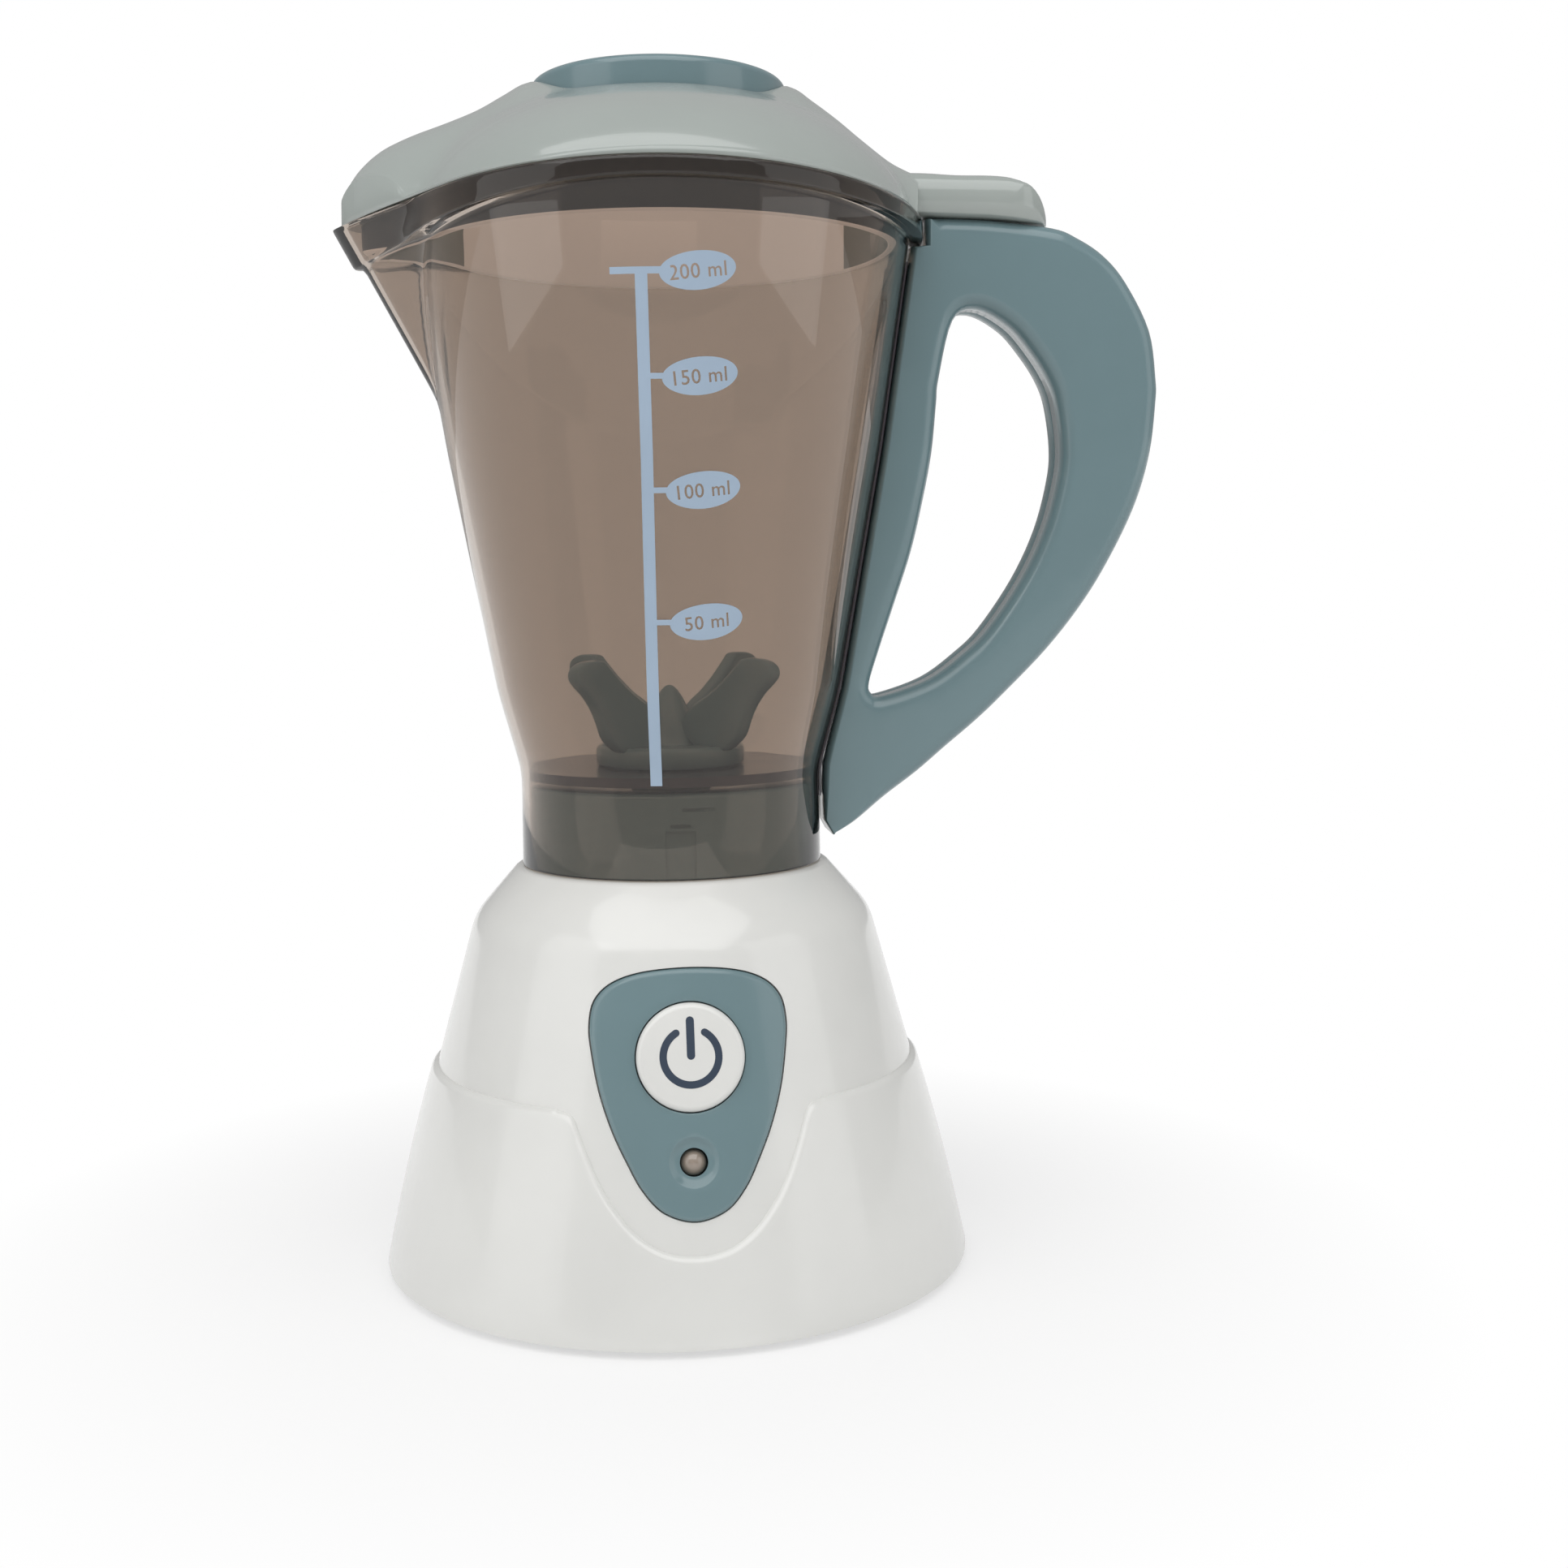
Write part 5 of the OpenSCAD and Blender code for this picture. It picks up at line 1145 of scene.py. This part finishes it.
def seen_by(tree, *kinds):
    """1 for these kinds of ray and 0 for all others."""
    path = add_node(tree, "LightPath")
    share = path.outputs["Is " + kinds[0] + " Ray"]
    for kind in kinds[1:]:
        share = math_node(tree, "MAXIMUM", share, path.outputs["Is " + kind + " Ray"])
    return share


floor_half = 6
floor_mesh = bpy.data.meshes.new("floor")
floor_mesh.from_pydata([(x * floor_half, y * floor_half, 0) for x, y in corners], [], [(0, 1, 2, 3)])
floor = bpy.data.objects.new("floor", floor_mesh)
bpy.context.collection.objects.link(floor)
# Painted white where the shadow falls, and glowing white where it runs into the background
floor_paint, tree, shader, place = new_material("floor_paint")
feed(tree, shader, Base_Color=(0.9, 0.9, 0.9, 1), Roughness=0.8, Specular_IOR_Level=0.1)
distance = add_node(tree, "VectorMath", Vector=place)
distance.operation = "LENGTH"
fade = between(tree, distance.outputs["Value"], 0.6, 1.0, 0.07, 0.16)
glow = math_node(tree, "MULTIPLY", fade, seen_by(tree, "Camera", "Transmission", "Glossy"))
mix_to_output(tree, glow, shader.outputs["BSDF"], add_node(tree, "Emission").outputs["Emission"])
floor_mesh.materials.append(floor_paint)

scene = bpy.context.scene
scene.view_settings.view_transform = "Standard"
scene.world = bpy.data.worlds.new("studio")
scene.world.use_nodes = True
tree = scene.world.node_tree
tree.nodes.clear()
strength = between(tree, seen_by(tree, "Camera", "Transmission"), 0.4, 1.0)
sky = add_node(tree, "Background", Color=(1, 1, 1, 1), Strength=strength)
add_node(tree, "OutputWorld", Surface=sky.outputs["Background"])


def soft_lamp(name, place, size, power):
    """Soft box of a width and height in metres, turned to the middle of the toy."""
    light = bpy.data.lights.new(name, "AREA")
    light.shape = "RECTANGLE"
    light.size, light.size_y = size
    light.energy = power
    lamp = bpy.data.objects.new(name, light)
    lamp.location = place
    lamp.rotation_euler = (Vector((0, 0, 0.12)) - Vector(place)).to_track_quat("-Z", "Y").to_euler()
    bpy.context.collection.objects.link(lamp)


soft_lamp("overhead", (-0.1, -0.55, 1.1), (1.5, 1.1), 9)
soft_lamp("left_fill", (-1.3, -0.6, 0.6), (1.0, 1.4), 4)
soft_lamp("right_fill", (1.3, -0.8, 0.5), (1.0, 1.4), 3.5)

camera_aim = Vector((0.1160, 0.9873, -0.1087)).to_track_quat("-Z", "Y").to_matrix()
camera_roll = radians(-0.689)
focal_px, image_px = 2350, 1932
lens = bpy.data.cameras.new("camera")
lens.sensor_width = 36
lens.lens = lens.sensor_width * focal_px / image_px
camera = bpy.data.objects.new("camera", lens)
camera.location = Vector((-22.33, -388.05, 139.62)) * MM
camera.rotation_euler = (camera_aim @ Matrix.Rotation(camera_roll, 3, "Z")).to_euler()
bpy.context.collection.objects.link(camera)
scene.camera = camera

bpy.context.view_layer.update()
